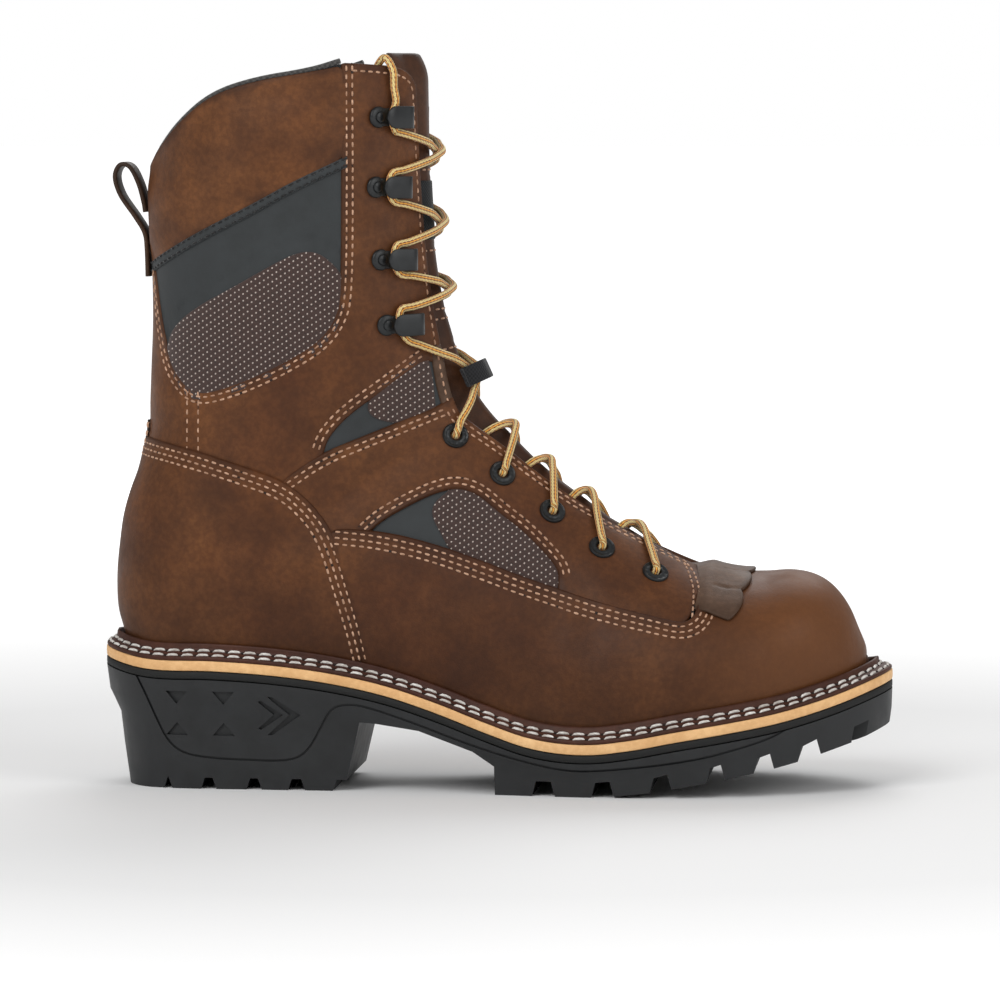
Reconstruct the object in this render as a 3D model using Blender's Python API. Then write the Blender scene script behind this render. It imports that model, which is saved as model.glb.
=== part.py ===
"""Logger boot, right foot: a hollow leather upper with panels over it, a storm welt and a lug outsole.

Frame: +X toward the toe, +Y toward the medial (inner) side, +Z up. The origin is on the floor,
midway along the outsole's length and width. Lengths are in metres.
"""
import math

import bmesh
import bpy
import numpy as np
from mathutils import Matrix, Vector

# Overall sizes
BOOT_LENGTH = 0.316
BALL_WIDTH = 0.112
TOP_HEIGHT = 0.290
SEAT_HEIGHT = 0.0512

# Leather
WALL = 0.0020
COUNTER_LEATHER = 0.0021
VAMP_LEATHER = 0.0019
QUARTER_LEATHER = 0.0016
SHAFT_LEATHER = 0.0014
COLLAR_LEATHER = 0.0012
TONGUE_LEATHER = 0.0032
TONGUE_UNDERLAP = 0.0070
INSOLE = 0.0040
SEAM_GAP = 0.0003
SEAT_GAP = 0.0006
TONGUE_GAP = 0.0019
INSOLE_GAP = 0.0036
KILTIE_GAP = 0.0012

# Sole
WELT_SIDE = 0.0072
WELT_HEEL = 0.0082
WELT_TOE = 0.0106
WELT_EDGE = 0.0018
WELT_RIB = 0.0056
RIB_WIDTH = 0.0024
LEAN_LIMIT = 0.0080
LEAN_FADE = 0.0200
LEAN_TIP = 0.0016
MIDSOLE = 0.0040
FOAM = 0.0030
LUG_DEPTH = 0.0060
HEEL_LUG_DEPTH = 0.0045
CHANNEL = 0.0070
CHANNEL_CENTRES = (-0.36, 0.40)
CHANNEL_START = 0.500
TOE_TREAD = (0.959, 1.0)
HEEL_TAPER_BACK = 0.0120
HEEL_TAPER_SIDE = 0.0035
EDGE_TAPER = 0.0022
INLAY_DEPTH = 0.0010

# Hardware and lace
EYELET_RADIUS = 0.0053
EYELET_HOLE = 0.0020
EYELET_BARREL = 0.0026
EYELET_FLANGE = 0.0008
HOOK_WIDTH = 0.0085
HOOK_LENGTH = 0.0120
HOOK_SHEET = 0.0010
HOOK_MOUTH = 0.0038
HOOK_BASE_RADIUS = 0.0042
LACE_RADIUS = 0.0015
LACE_LIFT = 0.0007
KILTIE_LEATHER = 0.0018
KILTIE_FRONT = 0.818
KILTIE_BACK = 0.762
KILTIE_TURN = 0.34
KILTIE_SCALLOP = 0.012
LOOP_WIDTH = 0.0140
LOOP_STRAP = 0.0018
KEEPER_STRAP = 0.0012
KEEPER_LENGTH = 0.0080
KEEPER_HALF = 0.0135

# Form of the upper
BULGE = 1.03
TOE_SKEW = 0.143
PIVOT = (0.642, 0.655)
FORM_TOP = 1.05

# The wall is made in three parts, parted at a length and at a height
FOREFOOT_X = 0.0365
SHAFT_Z = 0.132

# How finely the form is divided
FOOT_ROWS = 7
FAN_ROWS = 9
LEG_ROWS = 3
TURNS = (0.0, 0.055, 0.11, 0.17, 0.26, 0.38, 0.52, 0.68, 0.84, 1.0)
HEEL_STEPS = (-0.17, -0.09, -0.035, -0.01, 0.0, 0.035)
SOLE_STATIONS = 32

# Plan of the sole's edge: q runs from the heel's back (0) to the toe's tip (1).
# The two widths are shares of half the ball width.
OUTLINE = (
    # q, lateral, medial
    (0.00, 0.000, 0.000),
    (0.05, 0.211, 0.211),
    (0.10, 0.402, 0.402),
    (0.15, 0.550, 0.550),
    (0.20, 0.643, 0.638),
    (0.30, 0.700, 0.680),
    (0.40, 0.735, 0.634),
    (0.50, 0.850, 0.684),
    (0.58, 0.968, 0.830),
    (0.64, 1.000, 0.955),
    (0.70, 0.950, 1.000),
    (0.75, 0.835, 0.980),
    (0.80, 0.680, 0.895),
    (0.85, 0.490, 0.750),
    (0.90, 0.280, 0.570),
    (0.95, 0.070, 0.362),
    (1.00, -TOE_SKEW, TOE_SKEW),
)

# Side view of the midsole's top: share of the length from the heel, share of the seat height.
SOLE_LINE = (
    # length, height
    (0.000, 1.074), (0.057, 1.012), (0.152, 1.000), (0.231, 0.969), (0.310, 0.904), (0.373, 0.820),
    (0.437, 0.695), (0.500, 0.551), (0.547, 0.457), (0.595, 0.412), (0.633, 0.410), (0.674, 0.441),
    (0.737, 0.514), (0.801, 0.580), (0.864, 0.652), (0.927, 0.756), (1.000, 0.908),
)

# Side view of the forefoot lugs' bottoms, in the same shares. The flat stretch stands on the floor.
TREAD_LINE = (
    # length, height
    (0.450, 0.000), (0.640, 0.000), (0.700, 0.040), (0.770, 0.115), (0.830, 0.185),
    (0.884, 0.262), (0.921, 0.330), (0.959, 0.400), (1.000, 0.500),
)

# Shank between the heel's breast and the forefoot, in the same shares.
SHANK_LINE = (
    # length, height
    (0.337, 0.540), (0.358, 0.531), (0.412, 0.484), (0.481, 0.332), (0.508, 0.221),
)

# Lugs from the side: where each begins and ends, as shares of the length.
HEEL_LUGS = ((0.030, 0.086), (0.097, 0.134), (0.154, 0.192), (0.212, 0.245), (0.267, 0.302))
HEEL_BREAST = 0.320
FORE_LUGS = ((0.509, 0.556), (0.585, 0.631), (0.659, 0.704), (0.731, 0.774), (0.797, 0.832), (0.857, 0.886),
             (0.914, 1.050))
LUG_LEAN = 0.005

# Back of the heel and shaft: height as a share of the top height, how far it stands in front of the
# foot's back point as a share of the length.
BACK_LINE = (
    # height, set-in
    (0.100, 0.0020), (0.180, -0.0010), (0.213, -0.0045), (0.238, -0.0105), (0.274, -0.0125), (0.333, -0.0085),
    (0.372, -0.0030), (0.403, 0.0055), (0.431, 0.0150), (0.455, 0.0205), (0.485, 0.0260), (0.528, 0.0272),
    (0.579, 0.0290), (0.631, 0.0310), (0.717, 0.0304), (0.807, 0.0276), (0.862, 0.0282), (1.050, 0.0285),
)

# Sections of the upper from the toe to the shaft's top. Each passes through a point of the front ridge.
# length and height place that point. centre, lateral and medial are shares of half the ball width, and
# a width of None follows the foot's edge on the sole. widest says where along the section, from the sole
# or back to the ridge, it is widest. low and high are the powers of its lower and upper curve.
SECTIONS = (
    # length, height, centre, lateral, medial, widest, low, high
    (0.9560, 0.1790, TOE_SKEW, None, None, 0.30, 2.0, 2.8),
    (0.9480, 0.2150, TOE_SKEW, None, None, 0.30, 2.0, 2.8),
    (0.9390, 0.2380, TOE_SKEW, None, None, 0.32, 2.0, 2.8),
    (0.9270, 0.2580, 0.141, None, None, 0.33, 2.0, 2.8),
    (0.9140, 0.2720, 0.140, None, None, 0.34, 2.0, 2.8),
    (0.8970, 0.2820, 0.138, None, None, 0.34, 2.0, 2.7),
    (0.8740, 0.2868, 0.135, None, None, 0.34, 2.0, 2.6),
    (0.8390, 0.2850, 0.130, None, None, 0.32, 2.0, 2.4),
    (0.8100, 0.2855, 0.125, None, None, 0.30, 2.0, 2.2),
    (0.7780, 0.2920, 0.118, None, None, 0.28, 2.0, 2.0),
    (0.7450, 0.3060, 0.110, None, None, 0.26, 2.0, 1.85),
    (0.7000, 0.3310, 0.100, None, None, 0.25, 2.0, 1.7),
    (0.6520, 0.3620, 0.088, None, None, 0.25, 2.0, 1.6),
    (0.6100, 0.3950, 0.075, 0.830, 0.700, 0.26, 2.0, 1.6),
    (0.5780, 0.4210, 0.065, 0.790, 0.655, 0.28, 2.0, 1.6),
    (0.5510, 0.4460, 0.055, 0.750, 0.625, 0.30, 2.0, 1.65),
    (0.5190, 0.4810, 0.045, 0.700, 0.605, 0.33, 2.1, 1.7),
    (0.4920, 0.5120, 0.036, 0.665, 0.600, 0.36, 2.2, 1.75),
    (0.4715, 0.5430, 0.028, 0.640, 0.605, 0.39, 2.3, 1.8),
    (0.4590, 0.5710, 0.020, 0.635, 0.615, 0.42, 2.3, 1.9),
    (0.4490, 0.5980, 0.014, 0.640, 0.630, 0.45, 2.3, 1.95),
    (0.4400, 0.6310, 0.008, 0.655, 0.650, 0.48, 2.3, 2.0),
    (0.4320, 0.6620, 0.004, 0.680, 0.678, 0.50, 2.3, 2.1),
    (0.4215, 0.7310, 0.000, 0.715, 0.715, 0.52, 2.3, 2.2),
    (0.4170, 0.7930, 0.000, 0.745, 0.745, 0.52, 2.3, 2.2),
    (0.4140, 0.8600, 0.000, 0.775, 0.775, 0.52, 2.3, 2.2),
    (0.4130, 0.9200, 0.000, 0.795, 0.795, 0.52, 2.3, 2.2),
    (0.4110, 1.0500, 0.000, 0.815, 0.815, 0.52, 2.3, 2.2),
)

# Half the throat's opening: height of the ridge as a share of the top height, share of half the ball width.
THROAT = (
    # height, half opening
    (0.300, 0.190), (0.360, 0.215), (0.450, 0.230), (0.530, 0.250), (0.620, 0.250), (0.750, 0.260),
    (0.850, 0.285), (0.950, 0.320), (1.050, 0.350),
)
THROAT_END = 0.748

# Side-view outlines of the panels, as shares of the length from the heel and of the top height.
COLLAR_LINE = ((-0.050, 0.790), (0.040, 0.815), (0.056, 0.843), (0.080, 0.878), (0.109, 0.913), (0.151, 0.949),
               (0.208, 0.969), (0.278, 0.981), (0.315, 0.994), (0.371, 0.990), (0.387, 0.985), (0.396, 0.974),
               (0.401, 0.955), (0.440, 0.860))
COUNTER_LINE = ((0.000, 0.484), (0.048, 0.481), (0.122, 0.467), (0.195, 0.443), (0.238, 0.426), (0.266, 0.404),
                (0.294, 0.369), (0.312, 0.331), (0.330, 0.270), (0.344, 0.221), (0.352, 0.182), (0.362, 0.080))
VAMP_LINE = ((0.304, 0.362), (0.361, 0.356), (0.425, 0.340), (0.489, 0.316), (0.554, 0.288), (0.650, 0.255),
             (0.699, 0.242), (0.746, 0.232), (0.765, 0.230), (0.780, 0.236), (0.788, 0.253), (0.792, 0.330))
QUARTER_LINE = ((0.238, 0.426), (0.286, 0.462), (0.336, 0.484), (0.404, 0.514), (0.432, 0.526), (0.470, 0.560))
QUARTER_FRONT = ((0.745, 0.330), (0.752, 0.296), (0.763, 0.279), (0.768, 0.263), (0.766, 0.200))
WINDOW_LOW = ((0.362, 0.368), (0.392, 0.387), (0.424, 0.404), (0.446, 0.411), (0.461, 0.411), (0.481, 0.403),
              (0.506, 0.380), (0.539, 0.353), (0.565, 0.325), (0.582, 0.305), (0.585, 0.292), (0.584, 0.240),
              (0.480, 0.280), (0.361, 0.340))
WINDOW_MIDDLE = ((0.289, 0.450), (0.295, 0.482), (0.310, 0.502), (0.328, 0.520), (0.359, 0.544), (0.387, 0.568),
                 (0.412, 0.588), (0.421, 0.581), (0.434, 0.510), (0.360, 0.480))
WINDOW_HIGH = ((0.315, 0.850), (0.313, 0.677), (0.303, 0.643), (0.283, 0.615), (0.241, 0.587), (0.193, 0.562),
               (0.150, 0.546), (0.132, 0.544), (0.115, 0.553), (0.096, 0.581), (0.087, 0.613), (0.078, 0.657),
               (0.072, 0.703), (0.069, 0.716), (0.110, 0.743), (0.179, 0.782), (0.244, 0.820), (0.316, 0.858))
COLLAR_PANEL_LINE = ((-0.050, 0.640), (0.069, 0.716), (0.110, 0.743), (0.179, 0.782), (0.244, 0.820), (0.315, 0.858))

# Lacing levels on each side, as shares of the length and the top height.
HOOKS = ((0.372, 0.920), (0.370, 0.825), (0.376, 0.726), (0.384, 0.638))
EYELETS = ((0.450, 0.481), (0.509, 0.429), (0.572, 0.377), (0.636, 0.328), (0.703, 0.294))

# Heel inlay from the side, as shares of the length and of the seat height.
INLAY_LINE = ((0.055, 0.850), (0.075, 0.540), (0.095, 0.330), (0.120, 0.235), (0.240, 0.215), (0.268, 0.270),
              (0.283, 0.420), (0.298, 0.560), (0.325, 0.640), (0.300, 0.750), (0.240, 0.810), (0.150, 0.840))

# Pull loop: how far its middle stands out from the shaft's back, and its height as a share of the top height.
LOOP_PATH = (
    # stand-off, height
    (0.0000, 0.700), (0.0000, 0.735), (0.0006, 0.760), (0.0042, 0.783), (0.0100, 0.813), (0.0122, 0.838),
    (0.0102, 0.854), (0.0062, 0.851), (0.0026, 0.828), (0.0006, 0.803), (0.0000, 0.789),
)

HEEL_X = -BOOT_LENGTH / 2
HALF_BALL = BALL_WIDTH / 2
PIVOT_X = HEEL_X + PIVOT[0] * BOOT_LENGTH
PIVOT_Z = PIVOT[1] * TOP_HEIGHT
FORM_Z = FORM_TOP * TOP_HEIGHT
HOOK_CLEAR = HOOK_WIDTH / 2 + LACE_RADIUS + SEAM_GAP
UNDER = max(COUNTER_LEATHER, VAMP_LEATHER) + SEAM_GAP
REACH = BOOT_LENGTH
SIDES = {"lateral": -1, "medial": 1}


def smooth_curve(rows, column=1):
    """Cubic curve through rows of (place, value, ...), with slopes weighted between the neighbours."""
    place = np.array([row[0] for row in rows], float)
    value = np.array([row[column] for row in rows], float)
    step = np.diff(place)
    slope = np.diff(value) / step
    tangent = np.empty_like(value)
    tangent[0] = slope[0]
    tangent[-1] = slope[-1]
    tangent[1:-1] = (slope[:-1] * step[1:] + slope[1:] * step[:-1]) / (step[1:] + step[:-1])

    def curve(at):
        at = np.clip(np.asarray(at, float), place[0], place[-1])
        i = np.clip(np.searchsorted(place, at, side="right") - 1, 0, len(step) - 1)
        u = (at - place[i]) / step[i]
        start = (1 + 2 * u) * (1 - u) ** 2 * value[i] + u * (1 - u) ** 2 * step[i] * tangent[i]
        end = u * u * (3 - 2 * u) * value[i + 1] + u * u * (u - 1) * step[i] * tangent[i + 1]
        return start + end
    return curve


SOLE_CURVE = smooth_curve(SOLE_LINE)
TREAD_CURVE = smooth_curve(TREAD_LINE)
BACK_CURVE = smooth_curve(BACK_LINE)
THROAT_CURVE = smooth_curve(THROAT)
EDGE_CURVES = {-1: smooth_curve(OUTLINE, 1), 1: smooth_curve(OUTLINE, 2)}


def side_point(row):
    """Side-view point (x, z) of a row of shares of the length and the top height."""
    return HEEL_X + row[0] * BOOT_LENGTH, row[1] * TOP_HEIGHT


def seat_line(x):
    """Height of the midsole's top at x."""
    return SEAT_HEIGHT * SOLE_CURVE((np.asarray(x) - HEEL_X) / BOOT_LENGTH)


def sole_edge(q, side, inset):
    """Plan points of the sole's edge at share q, moved inward by inset."""
    q = np.asarray(q, float)

    def at(share):
        x = HEEL_X + BOOT_LENGTH * (1 - np.cos(math.pi * share)) / 2
        return np.stack([x, side * HALF_BALL * EDGE_CURVES[side](share)], -1)

    small = 1e-3
    along = at(np.clip(q + small, 0, 1)) - at(np.clip(q - small, 0, 1))
    along[q <= 0] = [0, side]
    along[q >= 1] = [0, -side]
    along /= np.linalg.norm(along, axis=-1, keepdims=True)
    inward = np.stack([along[..., 1], -along[..., 0]], -1) * side
    return at(q) + np.asarray(inset)[..., None] * inward


def welt_width(q):
    """Width of the welt from the sole's edge to the leather that stands on it."""
    q = np.asarray(q, float)
    heel = np.clip(1 - q / 0.3, 0, 1) ** 2
    toe = np.clip((q - 0.7) / 0.3, 0, 1) ** 2
    return WELT_SIDE + (WELT_HEEL - WELT_SIDE) * heel + (WELT_TOE - WELT_SIDE) * toe


FINE = np.linspace(0, 1, 801)
FOOT = {side: sole_edge(FINE, side, welt_width(FINE) + UNDER) for side in (-1, 1)}
FOOT_BACK = FOOT[1][0, 0]
FOOT_TIP = FOOT[1][-1, 0]


def foot_edge(x, side):
    """Y of the upper's edge on the midsole at x."""
    return np.interp(x, FOOT[side][:, 0], FOOT[side][:, 1])


def back_x(z):
    """X of the upper's back at height z."""
    return FOOT_BACK + BOOT_LENGTH * BACK_CURVE(np.asarray(z) / TOP_HEIGHT)


def section_of(x, z):
    """Section s through a side-view point, and the distance r of the point back along it.

    s runs 0 to 1 over the upright sections from the toe to the pivot, 1 to 2 over the fan of
    sections around the pivot, and 2 to 3 over the level sections up the shaft.
    """
    x = np.asarray(x, float)
    z = np.asarray(z, float)
    upright = np.clip(1 - (FOOT_TIP - x) / (FOOT_TIP - PIVOT_X), -1, 1)
    foot = (np.arccos(upright) * 2 / math.pi, PIVOT_Z - z)
    fan = (1 + np.arctan2(PIVOT_X - x, PIVOT_Z - z) * 2 / math.pi, np.hypot(PIVOT_X - x, PIVOT_Z - z))
    leg = (2 + (z - PIVOT_Z) / (FORM_Z - PIVOT_Z), PIVOT_X - x)
    return tuple(np.where(x >= PIVOT_X, a, np.where(z >= PIVOT_Z, c, b)) for a, b, c in zip(foot, fan, leg))


def point_of(s, r):
    """Side-view point (x, z) at distance r back along section s."""
    s = np.asarray(s, float)
    r = np.asarray(r, float)
    angle = np.clip(s - 1, 0, 1) * math.pi / 2
    foot_x = FOOT_TIP - (FOOT_TIP - PIVOT_X) * (1 - np.cos(np.clip(s, 0, 1) * math.pi / 2))
    leg_z = PIVOT_Z + (s - 2) * (FORM_Z - PIVOT_Z)
    x = np.where(s <= 1, foot_x, np.where(s >= 2, PIVOT_X - r, PIVOT_X - r * np.sin(angle)))
    z = np.where(s <= 1, PIVOT_Z - r, np.where(s >= 2, leg_z, PIVOT_Z - r * np.cos(angle)))
    return x, z


def section_columns():
    """Smooth curves over s for each column of the table of sections."""
    rows = []
    for length, height, *rest in SECTIONS:
        s, r = section_of(min(HEEL_X + length * BOOT_LENGTH, FOOT_TIP), height * TOP_HEIGHT)
        rows.append((float(s), float(r), *rest))
    rows[0] = (0.0, *rows[0][1:])
    rows.sort(key=lambda row: row[0])
    columns = {
        "ridge": smooth_curve(rows, 1),
        "centre": smooth_curve([(row[0], row[2] * HALF_BALL) for row in rows]),
        "widest": smooth_curve(rows, 5),
        "low": smooth_curve(rows, 6),
        "high": smooth_curve(rows, 7),
    }
    upright = np.linspace(0, 1, 25)
    foot_x, _ = point_of(upright, 0.0)
    for side, column in ((-1, 3), (1, 4)):
        foot = np.abs(foot_edge(foot_x, side) - columns["centre"](upright)) * BULGE
        widths = list(zip(upright, foot))
        widths += [(row[0], row[column] * HALF_BALL) for row in rows if row[column] and row[0] > 1.02]
        columns[side] = smooth_curve(widths)
    return columns


COLUMNS = section_columns()


def section_end(s):
    """Distance along section s to the sole or the back, and whether it ends on the back."""
    s = np.asarray(s, float)
    near = COLUMNS["ridge"](s)
    far = np.full(s.shape, REACH)
    for _ in range(50):
        middle = (near + far) / 2
        x, z = point_of(s, middle)
        inside = (z > seat_line(x) + SEAT_GAP) & (x > back_x(z))
        near = np.where(inside, middle, near)
        far = np.where(inside, far, middle)
    x, z = point_of(s, near)
    return near, z > seat_line(x) + SEAT_GAP + 2e-4


def half_width(s, t, side):
    """Half width of section s at share t from its end (0) to the ridge (1): two joined power curves."""
    end, closed = section_end(s)
    x, _ = point_of(s, end)
    width = COLUMNS[side](s)
    widest = COLUMNS["widest"](s)
    on_sole = np.abs(foot_edge(x, side) - COLUMNS["centre"](s))
    at_end = np.where(closed | (s > 1.9), 0.0, np.minimum(on_sole, width))
    k = np.clip(1 - (at_end / np.maximum(width, 1e-6)) ** 2, 0, 1)
    low = np.clip((widest - t) / widest, 0, 1)
    high = np.clip((t - widest) / (1 - widest), 0, 1)
    curve = np.where(t < widest, 1 - k * low ** COLUMNS["low"](s), 1 - high ** COLUMNS["high"](s))
    return width * np.sqrt(np.clip(curve, 0, 1))


def form(s, turn, side):
    """Point of the upper's outer form: turn runs from the ridge (0) to the sole or the back (1)."""
    s, turn = np.broadcast_arrays(np.asarray(s, float), np.asarray(turn, float))
    t = (1 + np.cos(math.pi * turn)) / 2
    end, _ = section_end(s)
    x, z = point_of(s, end + t * (COLUMNS["ridge"](s) - end))
    y = COLUMNS["centre"](s) + side * half_width(s, t, side)
    return np.stack([x, y, z], -1)


def form_normal(s, turn, side):
    """Outward direction of the form, from the steps along its two parameters."""
    small = 2e-3
    along = form(np.clip(s + small, 0, 3), turn, side) - form(np.clip(s - small, 0, 3), turn, side)
    around = form(s, np.clip(turn + 5 * small, 0, 1), side) - form(s, np.clip(turn - 5 * small, 0, 1), side)
    normal = np.cross(around, along) * side
    middle = (turn <= 1e-9) | (s <= 1e-9)
    normal[..., 1] = np.where(middle, 0.0, normal[..., 1])
    return normal / np.linalg.norm(normal, axis=-1, keepdims=True)


def raised(s, turn, side, height):
    """Point at a height over the form."""
    s, turn = np.broadcast_arrays(np.asarray(s, float), np.asarray(turn, float))
    return form(s, turn, side) + form_normal(s, turn, side) * np.asarray(height)[..., None]


def on_side(length, height, side):
    """Parameters (s, turn) of the form at a side-view point given as shares."""
    x, z = side_point((length, height))
    s, r = section_of(x, z)
    end, _ = section_end(s)
    t = np.clip((end - r) / (end - COLUMNS["ridge"](s)), 0, 1)
    return float(s), float(np.arccos(2 * t - 1) / math.pi)


def throat_turn(s, side):
    """How far the throat's edge is turned from the ridge on section s."""
    s = np.asarray(s, float)
    _, z = point_of(s, COLUMNS["ridge"](s))
    opening = THROAT_CURVE(z / TOP_HEIGHT) * HALF_BALL
    near = np.zeros(s.shape)
    far = np.full(s.shape, 0.5)
    for _ in range(30):
        middle = (near + far) / 2
        inside = np.abs(form(s, middle, side)[..., 1] - COLUMNS["centre"](s)) < opening
        near = np.where(inside, middle, near)
        far = np.where(inside, far, middle)
    return near


def make_object(name, points, faces, material):
    """Mesh object with its faces turned outward."""
    work = bmesh.new()
    vertices = [work.verts.new([float(v) for v in point]) for point in points]
    for face in faces:
        corners = []
        for index in face:
            if vertices[index] not in corners:
                corners.append(vertices[index])
        if len(corners) > 2:
            work.faces.new(corners)
    bmesh.ops.remove_doubles(work, verts=work.verts, dist=2e-6)
    bmesh.ops.dissolve_degenerate(work, edges=work.edges, dist=1e-6)
    bmesh.ops.recalc_face_normals(work, faces=work.faces)
    if work.calc_volume(signed=True) < 0:
        bmesh.ops.reverse_faces(work, faces=work.faces)
    mesh = bpy.data.meshes.new(name)
    work.to_mesh(mesh)
    work.free()
    thing = bpy.data.objects.new(name, mesh)
    bpy.context.scene.collection.objects.link(thing)
    mesh.materials.append(material)
    return thing


def combine(target, other, operation):
    """Boolean of target with other, applied at once; other is used up."""
    step = target.modifiers.new(operation.lower(), "BOOLEAN")
    step.operation = operation
    step.solver = "EXACT"
    step.object = other
    bpy.context.view_layer.update()
    evaluated = target.evaluated_get(bpy.context.evaluated_depsgraph_get())
    mesh = bpy.data.meshes.new_from_object(evaluated)
    target.modifiers.remove(step)
    material = target.data.materials[0]
    target.data = mesh
    mesh.materials.clear()
    mesh.materials.append(material)
    mesh.polygons.foreach_set("material_index", np.zeros(len(mesh.polygons), dtype=np.int32))
    bpy.data.objects.remove(other, do_unlink=True)
    return target


def tidy(thing):
    """Weld the points that a cut leaves almost together and shade the piece smooth."""
    work = bmesh.new()
    work.from_mesh(thing.data)
    bmesh.ops.remove_doubles(work, verts=work.verts, dist=3e-5)
    bmesh.ops.dissolve_degenerate(work, edges=work.edges, dist=1e-5)
    work.to_mesh(thing.data)
    work.free()
    thing.data.shade_smooth()
    thing.data.set_sharp_from_angle(angle=math.radians(35))
    return thing


def material_for(name, colour, roughness, metallic=0.0):
    """Principled material of one colour."""
    material = bpy.data.materials.new(name)
    material.use_nodes = True
    shader = material.node_tree.nodes["Principled BSDF"]
    shader.inputs["Base Color"].default_value = (*colour, 1.0)
    shader.inputs["Roughness"].default_value = roughness
    shader.inputs["Metallic"].default_value = metallic
    return material


def prism(outline, low, high, material, axis="Y"):
    """Solid of a closed outline carried from low to high along Y (side view) or Z (plan view)."""
    count = len(outline)
    if axis == "Y":
        points = [(a, low, b) for a, b in outline] + [(a, high, b) for a, b in outline]
    else:
        points = [(a, b, low) for a, b in outline] + [(a, b, high) for a, b in outline]
    faces = [tuple(range(count)), tuple(range(2 * count - 1, count - 1, -1))]
    faces += [(i, (i + 1) % count, (i + 1) % count + count, i + count) for i in range(count)]
    return make_object("cutter", points, faces, material)


def form_rows():
    """Sections that divide the form, with one on the heel's corner."""
    corner, _ = section_of(FOOT_BACK, seat_line(FOOT_BACK) + SEAT_GAP)
    rows = list(np.linspace(0, 1, FOOT_ROWS, endpoint=False))
    rows += list(np.linspace(1, 2, FAN_ROWS, endpoint=False))
    rows += list(np.linspace(2, 3, LEG_ROWS + 1))
    near = [float(corner) + step for step in HEEL_STEPS]
    rows = [s for s in rows if not near[0] - 0.03 < s < near[-1] + 0.03]
    return np.array(sorted(rows + near)), float(corner)


def form_solid(height, material, spare):
    """The whole form at a height over the leather's outer face, closed below and above.

    spare lengthens it past the sole and the top, so that a larger form can be emptied by a smaller one.
    """
    rows, corner = form_rows()
    turns = np.array(TURNS)
    grid_s, grid_turn = np.meshgrid(rows, turns, indexing="ij")
    halves = []
    for side in (-1, 1):
        half = raised(grid_s, grid_turn, side, np.full(grid_s.shape, height))
        open_rows = rows <= corner + 1e-9
        half[open_rows, -1, 2] = seat_line(half[open_rows, -1, 0]) + SEAT_GAP
        half[0, :, 1] = TOE_SKEW * HALF_BALL
        half[-1, :, 2] = FORM_Z + spare
        halves.append(half)
    seam = rows >= corner - 1e-9
    middle = (halves[0][seam, -1] + halves[1][seam, -1]) / 2
    middle[:, 1] = 0.0
    for half in halves:
        half[seam, -1] = middle
    halves[1][:, 0] = halves[0][:, 0]
    halves[1][0, :] = halves[0][0, :]
    ends = [half[:, -1:].copy() for half in halves]
    for end in ends:
        end[open_rows, 0, 2] -= spare
    ring = np.concatenate([ends[0], halves[0][:, ::-1], halves[1][:, 1:], ends[1]], axis=1)
    count, width = ring.shape[:2]
    at = np.arange(count * width).reshape(count, width)
    last_open = int(np.sum(rows <= corner + 1e-9)) - 1
    faces = []
    for part in (at[:, 1:-1], at[:last_open + 1, :2], at[:last_open + 1, -2:]):
        faces += np.stack([part[:-1, :-1], part[:-1, 1:], part[1:, 1:]], -1).reshape(-1, 3).tolist()
        faces += np.stack([part[:-1, :-1], part[1:, 1:], part[1:, :-1]], -1).reshape(-1, 3).tolist()
    for i in range(last_open):
        faces.append([at[i, 0], at[i + 1, 0], at[i + 1, -1], at[i, -1]])
    top = list(at[-1, 1:-1])
    half_top = len(top) // 2
    for i in range(half_top):
        faces.append([top[i], top[i + 1], top[-2 - i], top[-1 - i]])
    return make_object("form", ring.reshape(-1, 3), faces, material)


def outline_of(rows):
    """Side-view outline in metres from rows of shares."""
    return [side_point(row) for row in rows]


def throat_cutter(material):
    """Strip over the throat that reaches through every layer, square to the form."""
    start, _ = section_of(HEEL_X + THROAT_END * BOOT_LENGTH, 0.0)
    s = np.linspace(float(start), 3.0, 26)
    shares = np.array([0.0, 0.5, 1.0])
    edges = {side: throat_turn(s, side)[:, None] * shares for side in (-1, 1)}
    turns = np.concatenate([-edges[-1][:, :0:-1], edges[1]], axis=1)
    reach = 4 * WALL
    return strip_solid("cutter", s, np.full(turns.shape, reach), turns, 2 * reach, material)


def collar_cutter(material):
    """Region above the collar's line, on both sides."""
    line = outline_of(COLLAR_LINE)
    far = [(line[-1][0] + 0.05, line[-1][1]), (line[-1][0] + 0.05, FORM_Z + 0.03), (line[0][0], FORM_Z + 0.03)]
    return prism(line + far, -BALL_WIDTH, BALL_WIDTH, material)


def make_upper(material):
    """Hollow leather wall in three parts a seam's gap apart: forefoot, heel and shaft.

    Each is the form, cut at the throat, kept inside its outline and emptied by the inner form.
    """
    far = BOOT_LENGTH
    half = SEAM_GAP / 2
    front = [(FOREFOOT_X + half, -far), (far, -far), (far, far), (FOREFOOT_X + half, far)]
    heel = [(-far, -far), (FOREFOOT_X - half, -far), (FOREFOOT_X - half, SHAFT_Z - half), (-far, SHAFT_Z - half)]
    shaft = [(-far, SHAFT_Z + half), (FOREFOOT_X - half, SHAFT_Z + half), (FOREFOOT_X - half, far), (-far, far)]
    parts = []
    for name, outline in (("forefoot", front), ("heel", heel), ("shaft", shaft)):
        part = form_solid(0.0, material, 0.0)
        combine(part, throat_cutter(material), "DIFFERENCE")
        combine(part, prism(outline, -BALL_WIDTH, BALL_WIDTH, material), "INTERSECT")
        if name == "shaft":
            combine(part, collar_cutter(material), "DIFFERENCE")
        combine(part, form_solid(-WALL, material, 0.004), "DIFFERENCE")
        part.name = "upper_" + name
        parts.append(part)
    return parts


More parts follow.
